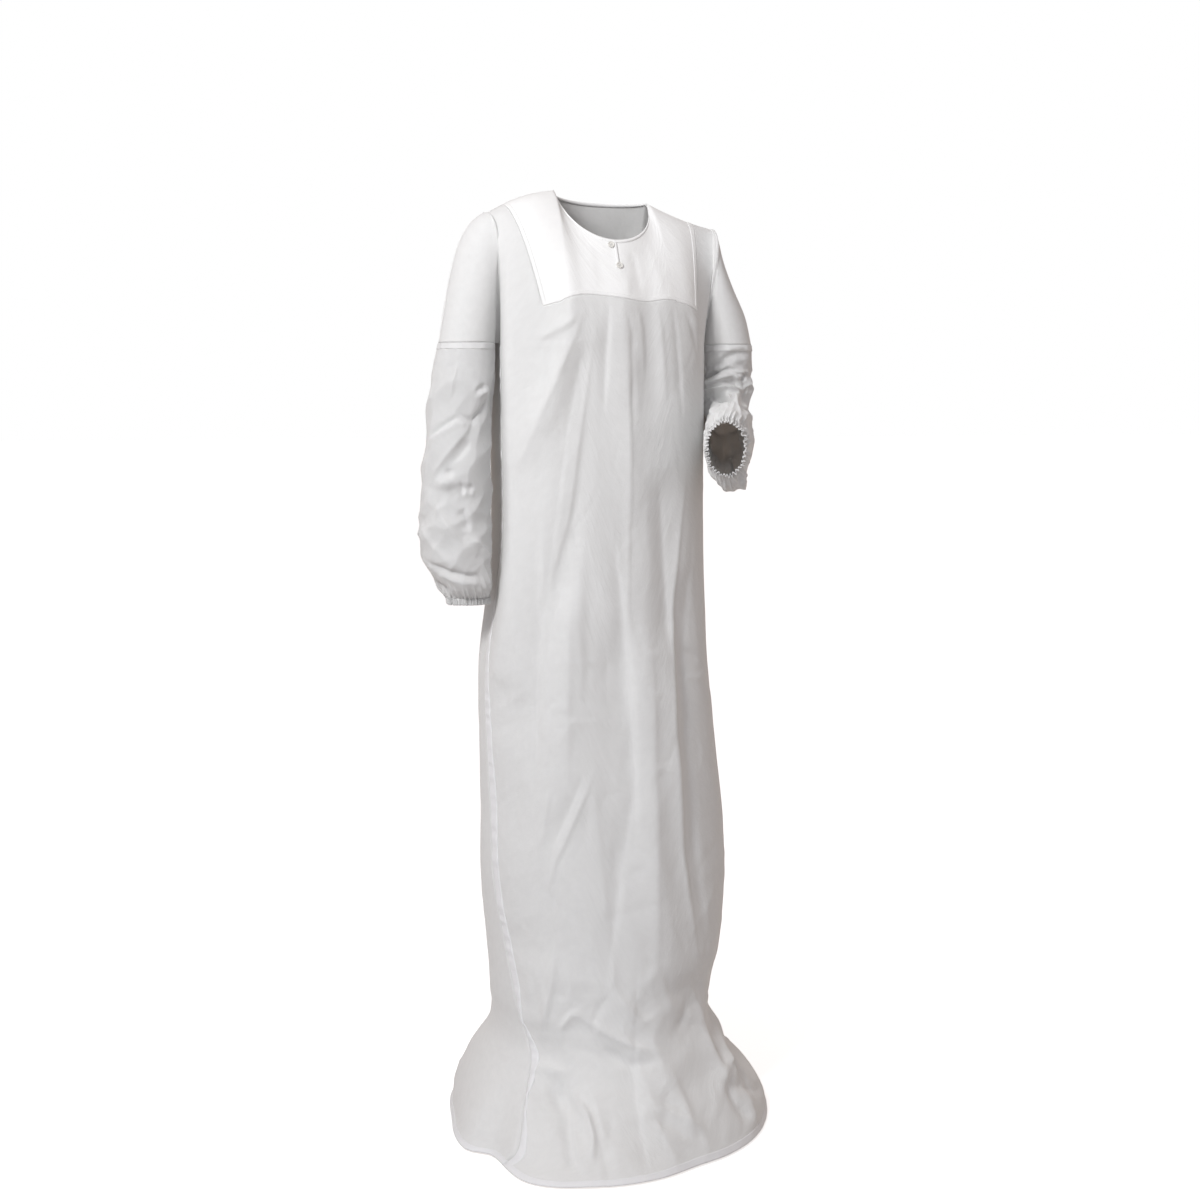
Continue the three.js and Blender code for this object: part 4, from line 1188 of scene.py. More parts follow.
class Cloth:
    """A mesh of cloth, gathered from grids whose shared points are made one."""

    UV_NAME = "threads_mm"

    def __init__(self, name: str) -> None:
        """Starts an empty cloth with the name of its piece."""
        self.name = name
        self.points: list[Array] = []
        self.threads: list[Array] = []
        self.faces: list[Array] = []
        self.count = 0

    def add_grid(
        self, points: Array, keep: Array, flip: bool, threads: Array | None = None
    ) -> None:
        """Adds the kept cells of a grid.

        Args:
            points: rows by columns of points, in millimetres.
            keep: which cells the piece has, one fewer each way than the points.
            flip: whether the cells run the other way round, so that they face outwards.
            threads: places in the weave; the arc lengths where it isn't given.
        """
        rows, columns = points.shape[:2]
        if threads is None:
            threads = np.stack([arc_lengths(points, 1), arc_lengths(points, 0)], -1)
        index = np.arange(rows * columns).reshape(rows, columns) + self.count
        corners = [index[1:, :-1], index[1:, 1:], index[:-1, 1:], index[:-1, :-1]]
        if flip:
            corners.reverse()
        self.faces.append(np.stack(corners, -1)[keep])
        self.points.append(points.reshape(-1, 3))
        self.threads.append(threads.reshape(-1, 2))
        self.count += rows * columns

    def make(self, thickness: float = CLOTH_THICKNESS) -> Piece:
        """Makes the piece: merges shared points, gives it a wall and shades it smooth.

        Args:
            thickness: the wall's thickness in millimetres, or 0 for a form that is closed.

        Returns:
            The finished piece.
        """
        points = np.concatenate(self.points)
        threads = np.concatenate(self.threads)
        faces = np.concatenate(self.faces)
        used, faces = np.unique(faces, return_inverse=True)
        faces = faces.reshape(-1, 4)
        points = points[used]
        threads = threads[used]
        mesh = bpy.data.meshes.new(self.name)
        placed = (points - np.array([0, 0, HELD_HEIGHT])) * MM
        mesh.from_pydata(placed.tolist(), [], faces.tolist())
        layer = mesh.uv_layers.new(name=self.UV_NAME)
        layer.data.foreach_set("uv", threads[faces.ravel()].astype(np.float32).ravel())
        piece = bpy.data.objects.new(self.name, mesh)
        bpy.context.scene.collection.objects.link(piece)
        select_only(piece)
        bpy.ops.object.mode_set(mode="EDIT")
        bpy.ops.mesh.select_all(action="SELECT")
        bpy.ops.mesh.remove_doubles(threshold=MERGE_DISTANCE * MM)
        bpy.ops.object.mode_set(mode="OBJECT")
        if thickness:
            wall = piece.modifiers.new("thickness", "SOLIDIFY")
            wall.thickness = thickness * MM
            wall.offset = -1
            bpy.ops.object.modifier_apply(modifier=wall.name)
        bpy.ops.object.shade_smooth()
        return piece


def select_only(piece: Piece) -> None:
    """Deselects everything and makes one object selected and active."""
    bpy.ops.object.select_all(action="DESELECT")
    piece.select_set(True)
    bpy.context.view_layer.objects.active = piece


def linear_colour(hex_colour: str) -> tuple[float, float, float, float]:
    """Turns an sRGB hex colour into linear values with full opacity."""
    values = [int(hex_colour[at : at + 2], 16) / 255 for at in (1, 3, 5)]
    linear = [v / 12.92 if v <= 0.04045 else ((v + 0.055) / 1.055) ** 2.4 for v in values]
    return (*linear, 1.0)


def add_node(
    tree: Tree, kind: str, settings: dict | None = None, inputs: dict | None = None
) -> bpy.types.Node:
    """Adds a node with its settings and links.

    Args:
        tree: the material's nodes.
        kind: the shader node's type name, after its common start.
        settings: values for the node's own properties.
        inputs: a value, or the output socket it is linked from, for each input.

    Returns:
        The new node.
    """
    node = tree.nodes.new(f"ShaderNode{kind}")
    for name, value in (settings or {}).items():
        setattr(node, name, value)
    for name, value in (inputs or {}).items():
        if isinstance(value, Socket):
            tree.links.new(value, node.inputs[name])
        else:
            node.inputs[name].default_value = value
    return node


@dataclass(frozen=True)
class Cut:
    """The flat size of the cloth that shows, all round on a tube, in metres."""

    width: float
    length: float
    area: float


FRONT_PANEL_CUT = Cut(1.0, 1.52, 1.02)
BACK_PANEL_CUT = Cut(1.0, 1.52, 1.1)
YOKE_CUT = Cut(0.3, 0.19, 0.05)
SLEEVE_CUT = Cut(0.46, 0.43, 0.17)
CUFF_CUT = Cut(0.44, 0.03, 0.013)
BINDING_CUT = Cut(0.45, 0.01, 0.0031)


def declare_sheet(piece: Piece, cut: Cut, held: str, rests_on: list, with_pieces: list) -> None:
    """Says that a piece is a sheet of cloth, and the size it was cut to before it was hung.

    Args:
        piece: the sheet.
        cut: its flat size.
        rests_on: the pieces that carry it.
        with_pieces: the seams and edges that are the same cloth.
    """
    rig.sheet(
        piece,
        flat=(cut.width, cut.length),
        held=held,
        rests_on=rests_on,
        area=cut.area,
        with_pieces=with_pieces,
    )


@dataclass(frozen=True)
class CottonPercale:
    """Bleached cotton percale: a close plain weave, matt, with a faint sheen at grazing angles."""

    name: str = "cotton_percale"
    colour: str = "#DDDDDC"
    shade: str = "#D3D3D2"
    thread_spacing: float = 0.7
    slub_spacing: float = 14.0
    weave_depth: float = 0.02
    crinkle_size: float = 9.0
    crinkle_depth: float = 0.22
    crease_size: float = 26.0
    crease_depth: float = 1.3
    roughness: float = 0.82
    sheen: float = 0.15
    sheen_spread: float = 0.45
    shine: float = 0.3
    glow: float = 0.45
    glow_depth: float = 0.9
    bump: float = 0.5
    crease_bump: float = 0.6
    crease_stretch: float = 0.55
    stitch_rows: tuple[float, ...] = ()
    stitch_pitch: float = 2.8
    stitch_gap: tuple[float, float] = (0.25, 0.5)
    thread_edge: tuple[float, float] = (0.15, 0.55)
    stitch_groove: float = -0.6
    stitch_height: float = 0.35
    stitch_bump: float = 0.8

    # Blender's wave texture turns by this many radians over one unit.
    WAVE_RADIANS = 20

    def material(self) -> Material:
        """Returns the finish; threads are drawn twice as coarse as real ones, to show."""
        material = bpy.data.materials.new(self.name)
        material.use_nodes = True
        tree = material.node_tree
        tree.nodes.clear()
        uv = add_node(tree, "UVMap", {"uv_map": Cloth.UV_NAME}).outputs["UV"]
        wave_scale = 2 * math.pi / self.WAVE_RADIANS / self.thread_spacing
        waves = [
            add_node(
                tree,
                "TexWave",
                {"wave_type": "BANDS", "bands_direction": direction},
                {"Vector": uv, "Scale": wave_scale, "Distortion": 0.6, "Detail": 1.0},
            ).outputs["Fac"]
            for direction in ("X", "Y")
        ]
        crossed = {0: waves[0], 1: waves[1]}
        weave = add_node(tree, "Math", {"operation": "MAXIMUM"}, crossed).outputs[0]
        uneven = {"Vector": uv, "Scale": 1 / self.slub_spacing, "Detail": 6.0, "Roughness": 0.6}
        slubs = add_node(tree, "TexNoise", {}, uneven).outputs["Fac"]
        tints = {"Factor": slubs, 6: linear_colour(self.shade), 7: linear_colour(self.colour)}
        tint = add_node(tree, "Mix", {"data_type": "RGBA"}, tints).outputs[2]
        fine = {"Vector": uv, "Scale": 1 / self.crinkle_size, "Detail": 4.0, "Roughness": 0.55}
        crinkle = add_node(tree, "TexNoise", {}, fine).outputs["Fac"]
        normal = self.add_creases(tree, uv, slubs)
        for height, depth in ((crinkle, self.crinkle_depth), (weave, self.weave_depth)):
            bump = {"Strength": self.bump, "Distance": depth * MM}
            bump |= {"Height": height, "Normal": normal}
            normal = add_node(tree, "Bump", {}, bump).outputs["Normal"]
        if self.stitch_rows:
            normal = self.add_stitches(tree, uv, normal)
        surface = {
            "Base Color": tint,
            "Normal": normal,
            "Roughness": self.roughness,
            "Sheen Weight": self.sheen,
            "Sheen Roughness": self.sheen_spread,
            "Specular IOR Level": self.shine,
            "Subsurface Weight": self.glow,
            "Subsurface Scale": self.glow_depth * MM,
            "Subsurface Radius": (1.0, 1.0, 1.0),
        }
        cloth = add_node(tree, "BsdfPrincipled", {}, surface).outputs["BSDF"]
        add_node(tree, "OutputMaterial", {}, {"Surface": cloth})
        return material

    def add_creases(self, tree: Tree, uv: Socket, calm: Socket) -> Socket:
        """Presses small flats with sharp rims into the cloth, longer down it than across.

        Args:
            tree: the material's nodes.
            uv: places in the weave.
            calm: how much of the creases each place has.

        Returns:
            The creased normal.
        """
        longer = {0: uv, 1: (1.0, self.crease_stretch, 1.0)}
        drawn = add_node(tree, "VectorMath", {"operation": "MULTIPLY"}, longer).outputs[0]
        flats = {"Vector": drawn, "Scale": 1 / self.crease_size, "Detail": 1.0, "Roughness": 0.35}
        cells = add_node(tree, "TexVoronoi", {"feature": "F1"}, flats).outputs["Distance"]
        height = add_node(tree, "Math", {"operation": "MULTIPLY"}, {0: cells, 1: calm}).outputs[0]
        depth = self.crease_depth * MM
        bump = {"Strength": self.crease_bump, "Distance": depth, "Height": height}
        return add_node(tree, "Bump", {}, bump).outputs["Normal"]

    def add_stitches(self, tree: Tree, uv: Socket, normal: Socket) -> Socket:
        """Presses rows of stitches into the cloth.

        Args:
            tree: the material's nodes.
            uv: places along the seam and across it.
            normal: the cloth's normal.

        Returns:
            The stitched normal.
        """
        start, full = self.stitch_gap
        core, rim = self.thread_edge
        apart = add_node(tree, "SeparateXYZ", {}, {0: uv})
        along, across = apart.outputs[0], apart.outputs[1]
        half = {0: along, 1: self.stitch_pitch / 2}
        beat = add_node(tree, "Math", {"operation": "PINGPONG"}, half).outputs[0]
        length = {0: beat, 1: start, 2: full, 3: 0.0, 4: 1.0}
        thread = add_node(tree, "MapRange", {}, length).outputs[0]
        for row in self.stitch_rows:
            off = add_node(tree, "Math", {"operation": "SUBTRACT"}, {0: across, 1: row}).outputs[0]
            gap = add_node(tree, "Math", {"operation": "ABSOLUTE"}, {0: off}).outputs[0]
            width = {0: gap, 1: core, 2: rim, 3: 1.0, 4: 0.0}
            near = add_node(tree, "MapRange", {}, width).outputs[0]
            pressed = {0: near, 1: self.stitch_groove}
            groove = add_node(tree, "Math", {"operation": "MULTIPLY"}, pressed).outputs[0]
            stitch = {0: near, 1: thread, 2: groove}
            raised = add_node(tree, "Math", {"operation": "MULTIPLY_ADD"}, stitch).outputs[0]
            bump = {"Strength": self.stitch_bump, "Distance": self.stitch_height * MM}
            bump |= {"Height": raised, "Normal": normal}
            normal = add_node(tree, "Bump", {}, bump).outputs["Normal"]
        return normal


@dataclass(frozen=True)
class PolyesterButton:
    """Moulded off-white polyester, polished, as on shirts."""

    name: str = "polyester_button"
    colour: str = "#DEDCD6"
    cloud: str = "#CFCDC8"
    cloud_scale: float = 420.0
    roughness: float = 0.28
    coat: float = 0.3

    def material(self) -> Material:
        """Returns the finish, clouded a little like shell."""
        material = bpy.data.materials.new(self.name)
        material.use_nodes = True
        tree = material.node_tree
        tree.nodes.clear()
        place = add_node(tree, "TexCoord").outputs["Object"]
        cloudy = {"Vector": place, "Scale": self.cloud_scale, "Detail": 3.0}
        clouds = add_node(tree, "TexNoise", {}, cloudy).outputs["Fac"]
        tints = {"Factor": clouds, 6: linear_colour(self.cloud), 7: linear_colour(self.colour)}
        tint = add_node(tree, "Mix", {"data_type": "RGBA"}, tints).outputs[2]
        polished = {"Base Color": tint, "Roughness": self.roughness, "Coat Weight": self.coat}
        body = add_node(tree, "BsdfPrincipled", {}, polished).outputs["BSDF"]
        add_node(tree, "OutputMaterial", {}, {"Surface": body})
        return material


def doubled(name: str, colour: str, shade: str, *stitch_rows: float) -> Material:
    """Returns the percale where it lies double, which lets less light through.

    Args:
        name: the finish's name.
        colour: its lighter tint.
        shade: its darker tint.
        stitch_rows: each row of stitches, by its place across the seam.

    Returns:
        The finish.
    """
    finish = CottonPercale(
        name=name, colour=colour, shade=shade, glow=0.15, stitch_rows=stitch_rows
    )
    return finish.material()


def sleeve_percale(name: str) -> Material:
    """Returns the percale of the sleeves, which hang free and let light in from all round."""
    return CottonPercale(name=name, glow=0.6, glow_depth=3.0).material()


class Finishes:
    """The materials that the pieces share."""

    def __init__(self) -> None:
        """Makes each finish once; stitch rows are millimetres across a seam."""
        self.cloth = CottonPercale().material()
        self.sleeve = sleeve_percale("cotton_percale_sleeve")
        self.armhole = doubled("cotton_percale_armhole", "#D8D8D7", "#CECECE", 1.4, 9.4)
        self.double = doubled("cotton_percale_double", "#EDEDEB", "#E6E6E6")
        self.seam = doubled("cotton_percale_topstitched", "#EDEDEB", "#E6E6E6", 1.2, 4.8)
        self.felled = doubled("cotton_percale_felled", "#E4E4E4", "#DCDCDE", 1.4, 9.4)
        self.button = PolyesterButton().material()


def dress(piece: Piece, material: Material, slot: str, *nodes: str) -> Piece:
    """Gives a piece its finish, its body and the nodes it stands for.

    Args:
        piece: the finished mesh.
        material: its finish.
        slot: the material slot of the solids.
        nodes: the solids that it replaces.

    Returns:
        The piece.
    """
    piece.data.materials.clear()
    piece.data.materials.append(material)
    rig.ride(piece, ROOT)
    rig.slot(piece, slot)
    if nodes:
        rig.replaces(piece, *nodes)
    log.info("%s: %d faces", piece.name, len(piece.data.polygons))
    return piece


def both_sides(step: float, last: float) -> Array:
    """Returns places from -last to last, a step apart, with the middle among them."""
    half = np.linspace(0, last, round(last / step) + 1)
    return np.concatenate([-half[:0:-1], half])


BAND_PROFILE = Table(
    "share lift",
    (0, -0.5),
    (0.03, 0.7),
    (0.14, 1),
    (0.36, 0.85),
    (0.64, 0.85),
    (0.86, 1),
    (0.97, 0.7),
    (1, -0.5),
)


@dataclass
class SeamBand:
    """A strip of folded cloth on a patch along a seam, drawn up a little by its stitches."""

    name: str
    patch: Patch
    rows: Array
    columns: Array
    across: tuple[Array, Array]
    width: float
    lift: float = 0.7
    pucker: float = 0.35
    pucker_spacing: float = 9.0
    seed: int = 1
    thickness: float = 0.4

    # Where in the swelling the strip keeps its plain lift.
    PUCKER_REST = 0.6

    def puckers(self, along: Array) -> Array:
        """Returns uneven swellings between 0 and 1.

        Args:
            along: distances along the seam.

        Returns:
            The swelling at each distance.
        """
        chance = np.random.default_rng(self.seed)
        places = [0.0]
        while places[-1] < along[-1] + self.pucker_spacing:
            places.append(places[-1] + self.pucker_spacing * chance.uniform(0.5, 1.5))
        heights = chance.uniform(0, 1, len(places)) * (np.arange(len(places)) % 2)
        return np.clip(Line(places, heights)(along), 0, 1)

    def make(self, material: Material) -> Piece:
        """Builds the strip.

        Args:
            material: the finish with the strip's rows of stitches.

        Returns:
            The finished piece.
        """
        base, _ = self.patch.sample(self.rows, self.columns)
        along = arc_lengths(base, 0)
        swell = 1 + self.pucker * (self.puckers(along) * 2 - self.PUCKER_REST)
        lines = []
        threads = []
        for share, lift in BAND_PROFILE.rows:
            far = share * self.width
            points, normals = self.patch.sample(
                self.rows + self.across[0] * far, self.columns + self.across[1] * far
            )
            raised = self.lift * lift * (swell if lift > 0 else 1)
            lines.append(points + normals * np.reshape(raised, (-1, 1)))
            threads.append(np.stack([along, np.full(along.shape, far)], -1))
        points = np.array(lines)
        down, across = np.gradient(points, axis=0), np.gradient(points, axis=1)
        facing = np.cross(down, across)[len(lines) // 2]
        _, outward = self.patch.sample(self.rows, self.columns)
        flip = bool((facing * outward).sum() < 0)
        cloth = Cloth(self.name)
        cloth.add_grid(points, all_cells(points), flip, np.array(threads))
        return dress(cloth.make(self.thickness), material, CLOTH_SLOT)


@dataclass
class Body:
    """The body's front and back, the upper arms that are cut in one with them, and the yoke."""

    form: WornForm
    finishes: Finishes
    column_step: float = 0.2
    yoke_row_step: float = 0.15
    chest_row_step: float = 0.25
    skirt_row_step: float = 4.9
    arm_columns: int = 46
    yoke_band_width: float = 6
    side_band_width: float = 18
    hem_band_width: float = 12
    hem_fold_depth: float = 1.5
    slit_band_width: float = 3.6
    slit_rows: float = 3.6
    slit_overlap: tuple[float, float] = (1.6, 1.0)
    slit_underlap: tuple[float, float] = (-1.6, -0.5)
    slit_end: float = 0.6

    # Where the folds start: by how far the cloth faces out, above the ground, in columns from
    # the side seams, in rows from the top edge, in rows and columns from the yoke, and the
    # heights between which they deepen towards the hem.
    facing_from: tuple[float, float] = (0.02, 0.45)
    ground_height: float = 30
    ground_share: float = 0.2
    side_fade: float = 0.3
    top_fade: float = 6
    yoke_fade: float = 0.7
    hem_folds: tuple[float, float] = (150, 330)

    def __post_init__(self) -> None:
        """Sets out the grids of both faces with their folds."""
        self.row_values = np.concatenate(
            [
                np.arange(0, YOKE_ROW, self.yoke_row_step),
                np.arange(YOKE_ROW, ARMHOLE_ROW, self.chest_row_step),
                [ARMHOLE_ROW],
            ]
        )
        skirt_rows = round((ARMHOLE_HEIGHT - HEM_HEIGHT) / self.skirt_row_step)
        self.heights = np.linspace(ARMHOLE_HEIGHT, HEM_HEIGHT, skirt_rows + 1)[1:]
        self.column_values = both_sides(self.column_step, PANEL_EDGE)
        self.arm_values = np.linspace(PANEL_EDGE, ARM_EDGE, self.arm_columns)
        self.creases = {
            Face.FRONT: with_crumples(FRONT_CREASES, BODY_CRUMPLES),
            Face.BACK: with_crumples(BACK_CREASES, BODY_CRUMPLES),
        }
        self.trunk = {face: self.make_trunk(face) for face in Face}
        self.arms = {(face, side): self.make_arm(face, side) for face in Face for side in Side}

    def make_trunk(self, face: Face) -> Patch:
        """Returns the grid of one face from neck to hem, between the side seams.

        Args:
            face: the front or the back.
        """
        halves = []
        for side in Side:
            columns = np.abs(self.column_values[self.column_values * side.value >= 0])
            c, r = np.meshgrid(columns, self.row_values)
            upper = self.form.upper(face, side, c, r)
            c, z = np.meshgrid(columns, self.heights)
            halves.append(np.concatenate([upper, self.form.lower(face, side, c, z)]))
        points = np.concatenate([halves[0], halves[1][:, 1:]], axis=1)
        normals = grid_normals(points, -face.value)
        lift = self.lift(face, points, normals)
        points = points + normals * lift[..., None]
        below = ARMHOLE_ROW + (ARMHOLE_HEIGHT - self.heights)
        rows = np.concatenate([self.row_values, below])
        return Patch(points, grid_normals(points, -face.value), rows, self.column_values)

    def lift(self, face: Face, points: Array, normals: Array) -> Array:
        """Returns how far the smaller folds move each point of one face outwards.

        Args:
            face: the front or the back.
            points: rows by columns of points.
            normals: their normals.

        Returns:
            The lift of each point, in millimetres.
        """
        x, z = points[..., 0], points[..., 2]
        facing = smooth(normals[..., 1] * face.value, *self.facing_from)
        below_yoke = np.ones(x.shape)
        if face is Face.FRONT:
            below_yoke = self.below_yoke()
        off_ground = mix(self.ground_share, 1, smooth(z, 0, self.ground_height))
        edge = smooth(PANEL_EDGE - np.abs(self.column_values), 0, self.side_fade)[None, :]
        top = smooth(np.arange(points.shape[0]), 0, self.top_fade)[:, None]
        amount = total_lift(self.creases[face], x, z)
        for crumpling in BODY_FACETS:
            amount += crumpling.lift(x * face.value + FACET_SHIFT[face], z)
        amount *= below_yoke
        if face is Face.FRONT:
            amount += total_lift(YOKE_CREASES, x, z) * (1 - below_yoke)
        deeper = mix(self.hem_fold_depth, 1, smooth(z, *self.hem_folds))
        return amount * deeper * facing * off_ground * edge * top

    def below_yoke(self) -> Array:
        """Returns 0 on the yoke, which lies smooth, and 1 off it, with a short step between."""
        rows = np.concatenate([self.row_values, np.full(len(self.heights), 99.0)])
        columns = np.abs(self.column_values)
        under = smooth(rows, YOKE_ROW, YOKE_ROW + self.yoke_fade)[:, None]
        beside = smooth(columns, YOKE_COLUMN, YOKE_COLUMN + self.yoke_fade)[None, :]
        return np.maximum(under, beside)

    def make_arm(self, face: Face, side: Side) -> Patch:
        """Returns the grid over the front or back of one upper arm.

        Args:
            face: the front or the back.
            side: the wearer's side.
        """
        c, r = np.meshgrid(self.arm_values, self.row_values)
        points = self.form.upper(face, side, c, r)
        normals = grid_normals(points, -face.value * side.value)
        return Patch(points, normals, self.row_values, self.arm_values)

    def make_panel(self, name: str, face: Face) -> Piece:
        """Makes one face's panel with both upper arms, without the yoke's part.

        Args:
            name: the piece's name.
            face: the front or the back.

        Returns:
            The finished piece.
        """
        cloth = Cloth(name)
        trunk = self.trunk[face]
        keep = all_cells(trunk.points)
        if face is Face.FRONT:
            middles = np.abs(trunk.columns[:-1] + trunk.columns[1:]) / 2
            upper = trunk.rows[:-1] < YOKE_ROW - 1e-6
            keep = ~(upper[:, None] & (middles < YOKE_COLUMN)[None, :])
        cloth.add_grid(trunk.points, keep, face is Face.BACK)
        for side in Side:
            points = self.arms[(face, side)].points
            flip = (face is Face.BACK) != (side is Side.RIGHT)
            cloth.add_grid(points, all_cells(points), flip)
        return dress(cloth.make(), self.finishes.cloth, CLOTH_SLOT, name.removesuffix("_cloth"))

    def make_yoke(self) -> Piece:
        """Returns the yoke, slit down from the neck, its right edge over its left."""
        cloth = Cloth("front_yoke_cloth")
        trunk = self.trunk[Face.FRONT]
        upper = trunk.rows <= YOKE_ROW + 1e-6
        closed_share = smooth(trunk.rows[upper], self.slit_rows - self.slit_end, self.slit_rows)
        open_share = 1 - closed_share
        middle = len(trunk.columns) // 2
        for side in Side:
            inside = np.abs(trunk.columns) <= YOKE_COLUMN + 1e-6
            inside &= trunk.columns * side.value >= 0
            points = trunk.points[upper][:, inside].copy()
            edge = -1 if side is Side.RIGHT else 0
            out = trunk.normals[upper, middle]
            move = self.slit_overlap if side is Side.RIGHT else self.slit_underlap
            points[:, edge] += out * (open_share * move[1])[:, None]
            points[:, edge, 0] += open_share * move[0]
            cloth.add_grid(points, all_cells(points), False)
        return dress(cloth.make(), self.finishes.double, CLOTH_SLOT, "front_yoke")

    def yoke_band(self) -> Piece:
        """Returns the topstitched fold round the yoke's sides and hem, mitred at its corners."""
        trunk = self.trunk[Face.FRONT]
        down = np.linspace(0.12, YOKE_ROW, 60)
        over = np.linspace(-YOKE_COLUMN, YOKE_COLUMN, 110)[1:-1]
        rows = np.concatenate([down, np.full(over.shape, float(YOKE_ROW)), down[::-1]])
        edge = np.full(down.shape, float(YOKE_COLUMN))
        columns = np.concatenate([-edge, over, edge])
        row_step = trunk.across_one_mm(rows, columns, -0.1, 0.0)[0] * rows / YOKE_ROW
        column_step = trunk.across_one_mm(rows, columns, 0.0, 0.1)[1] * -columns / YOKE_COLUMN
        across = (row_step, column_step)
        width = self.yoke_band_width
        band = SeamBand("yoke_topstitching", trunk, rows, columns, across, width, pucker=0.12)
        return band.make(self.finishes.seam)

    def slit_band(self) -> Piece:
        """Returns the narrow turned edge down the slit's right side."""
        trunk = self.trunk[Face.FRONT]
        rows = np.linspace(0.1, self.slit_rows - 0.1, 40)
        columns = np.full(rows.shape, 0.03)
        across = trunk.across_one_mm(rows, columns, 0.0, -0.1)
        width = self.slit_band_width
        band = SeamBand("slit_edge", trunk, rows, columns, across, width, lift=1.7, pucker=0.1)
        return band.make(self.finishes.double)

    def side_band(self, side: Side) -> Piece:
        """Returns the flat-felled side seam, which lies on the front.

        Args:
            side: the wearer's side.
        """
        front = self.trunk[Face.FRONT]
        rows = np.arange(ARMHOLE_ROW + 4.0, front.rows[-1] - 1, 2.4)
        columns = np.full(rows.shape, (PANEL_EDGE - 0.001) * side.value)
        across = front.across_one_mm(rows, columns, 0.0, -0.1 * side.value)
        name = f"side_seam_{side.name.lower()}"
        width = self.side_band_width
        uneven = {"lift": 0.9, "pucker": 0.9, "pucker_spacing": 12, "seed": 5 + side.value}
        band = SeamBand(name, front, rows, columns, across, width, **uneven)
        return band.make(self.finishes.felled)

    def hem_band(self, face: Face) -> Piece:
        """Returns the hem's turned edge, stitched along both of its sides.

        Args:
            face: the front or the back.
        """
        trunk = self.trunk[face]
        columns = np.linspace(-PANEL_EDGE, PANEL_EDGE, 420)
        rows = np.full(columns.shape, trunk.rows[-1])
        across = trunk.across_one_mm(rows, columns, -2.0, 0.0)
        name = f"hem_{face.name.lower()}"
        width = self.hem_band_width
        uneven = {"pucker": 0.4, "pucker_spacing": 22, "seed": 11 + face.value}
        band = SeamBand(name, trunk, rows, columns, across, width, **uneven)
        return band.make(self.finishes.felled)

    def shoulder_band(self, side: Side) -> Piece:
        """Returns the shoulder seam, turned to the back.

        Args:
            side: the wearer's side.
        """
        back = self.trunk[Face.BACK]
        columns = np.linspace(NECK_COLUMN + 0.2, PANEL_EDGE, 70) * side.value
        rows = np.full(columns.shape, 0.0)
        across = back.across_one_mm(rows, columns, 0.1, 0.0)
        name = f"shoulder_seam_{side.name.lower()}"
        width = self.yoke_band_width
        uneven = {"pucker": 0.2, "seed": 21 + side.value}
        band = SeamBand(name, back, rows, columns, across, width, **uneven)
        return band.make(self.finishes.seam)

    def overarm_band(self, side: Side) -> Piece:
        """Returns the seam over the upper arm, turned to the back.

        Args:
            side: the wearer's side.
        """
        arm = self.arms[(Face.BACK, side)]
        rows = np.linspace(1.2, ARMHOLE_ROW - 0.05, 80)
        columns = np.full(rows.shape, float(ARM_EDGE))
        across = arm.across_one_mm(rows, columns, 0.0, -0.1)
        name = f"overarm_seam_{side.name.lower()}"
        width = self.yoke_band_width
        uneven = {"pucker": 0.3, "seed": 31 + side.value}
        band = SeamBand(name, arm, rows, columns, across, width, **uneven)
        return band.make(self.finishes.seam)

    def build(self) -> None:
        """Builds the panels, the yoke and the seams that are sewn on them."""
        front = self.make_panel("front_panel_cloth", Face.FRONT)
        back = self.make_panel("back_panel_cloth", Face.BACK)
        yoke = self.make_yoke()
        front_seams = [self.hem_band(Face.FRONT)]
        back_seams = [self.hem_band(Face.BACK)]
        for side in Side:
            front_seams.append(self.side_band(side))
            back_seams += [self.shoulder_band(side), self.overarm_band(side)]
        declare_sheet(front, FRONT_PANEL_CUT, "draped", [yoke], front_seams)
        declare_sheet(back, BACK_PANEL_CUT, "draped", [yoke], back_seams)
        declare_sheet(yoke, YOKE_CUT, "draped", [back], [self.yoke_band(), self.slit_band()])


@dataclass(frozen=True)
class SleeveShape:
    """The rings and folds of one sleeve; the bent one has the deeper folds."""

    rings: Table
    creases: Sequence[Crease]
    crumples: Sequence[Crumples]
    facets: Sequence[Facets]
    fold_depth: float


SLEEVE_SHAPES = {
    Side.RIGHT: SleeveShape(
        SLEEVE_RIGHT_RINGS, SLEEVE_RIGHT_CREASES, SLEEVE_RIGHT_CRUMPLES, SLEEVE_RIGHT_FACETS, 1.5
    ),
    Side.LEFT: SleeveShape(
        SLEEVE_LEFT_RINGS, SLEEVE_LEFT_CREASES, SLEEVE_LEFT_CRUMPLES, SLEEVE_LEFT_FACETS, 2.5
    ),
}


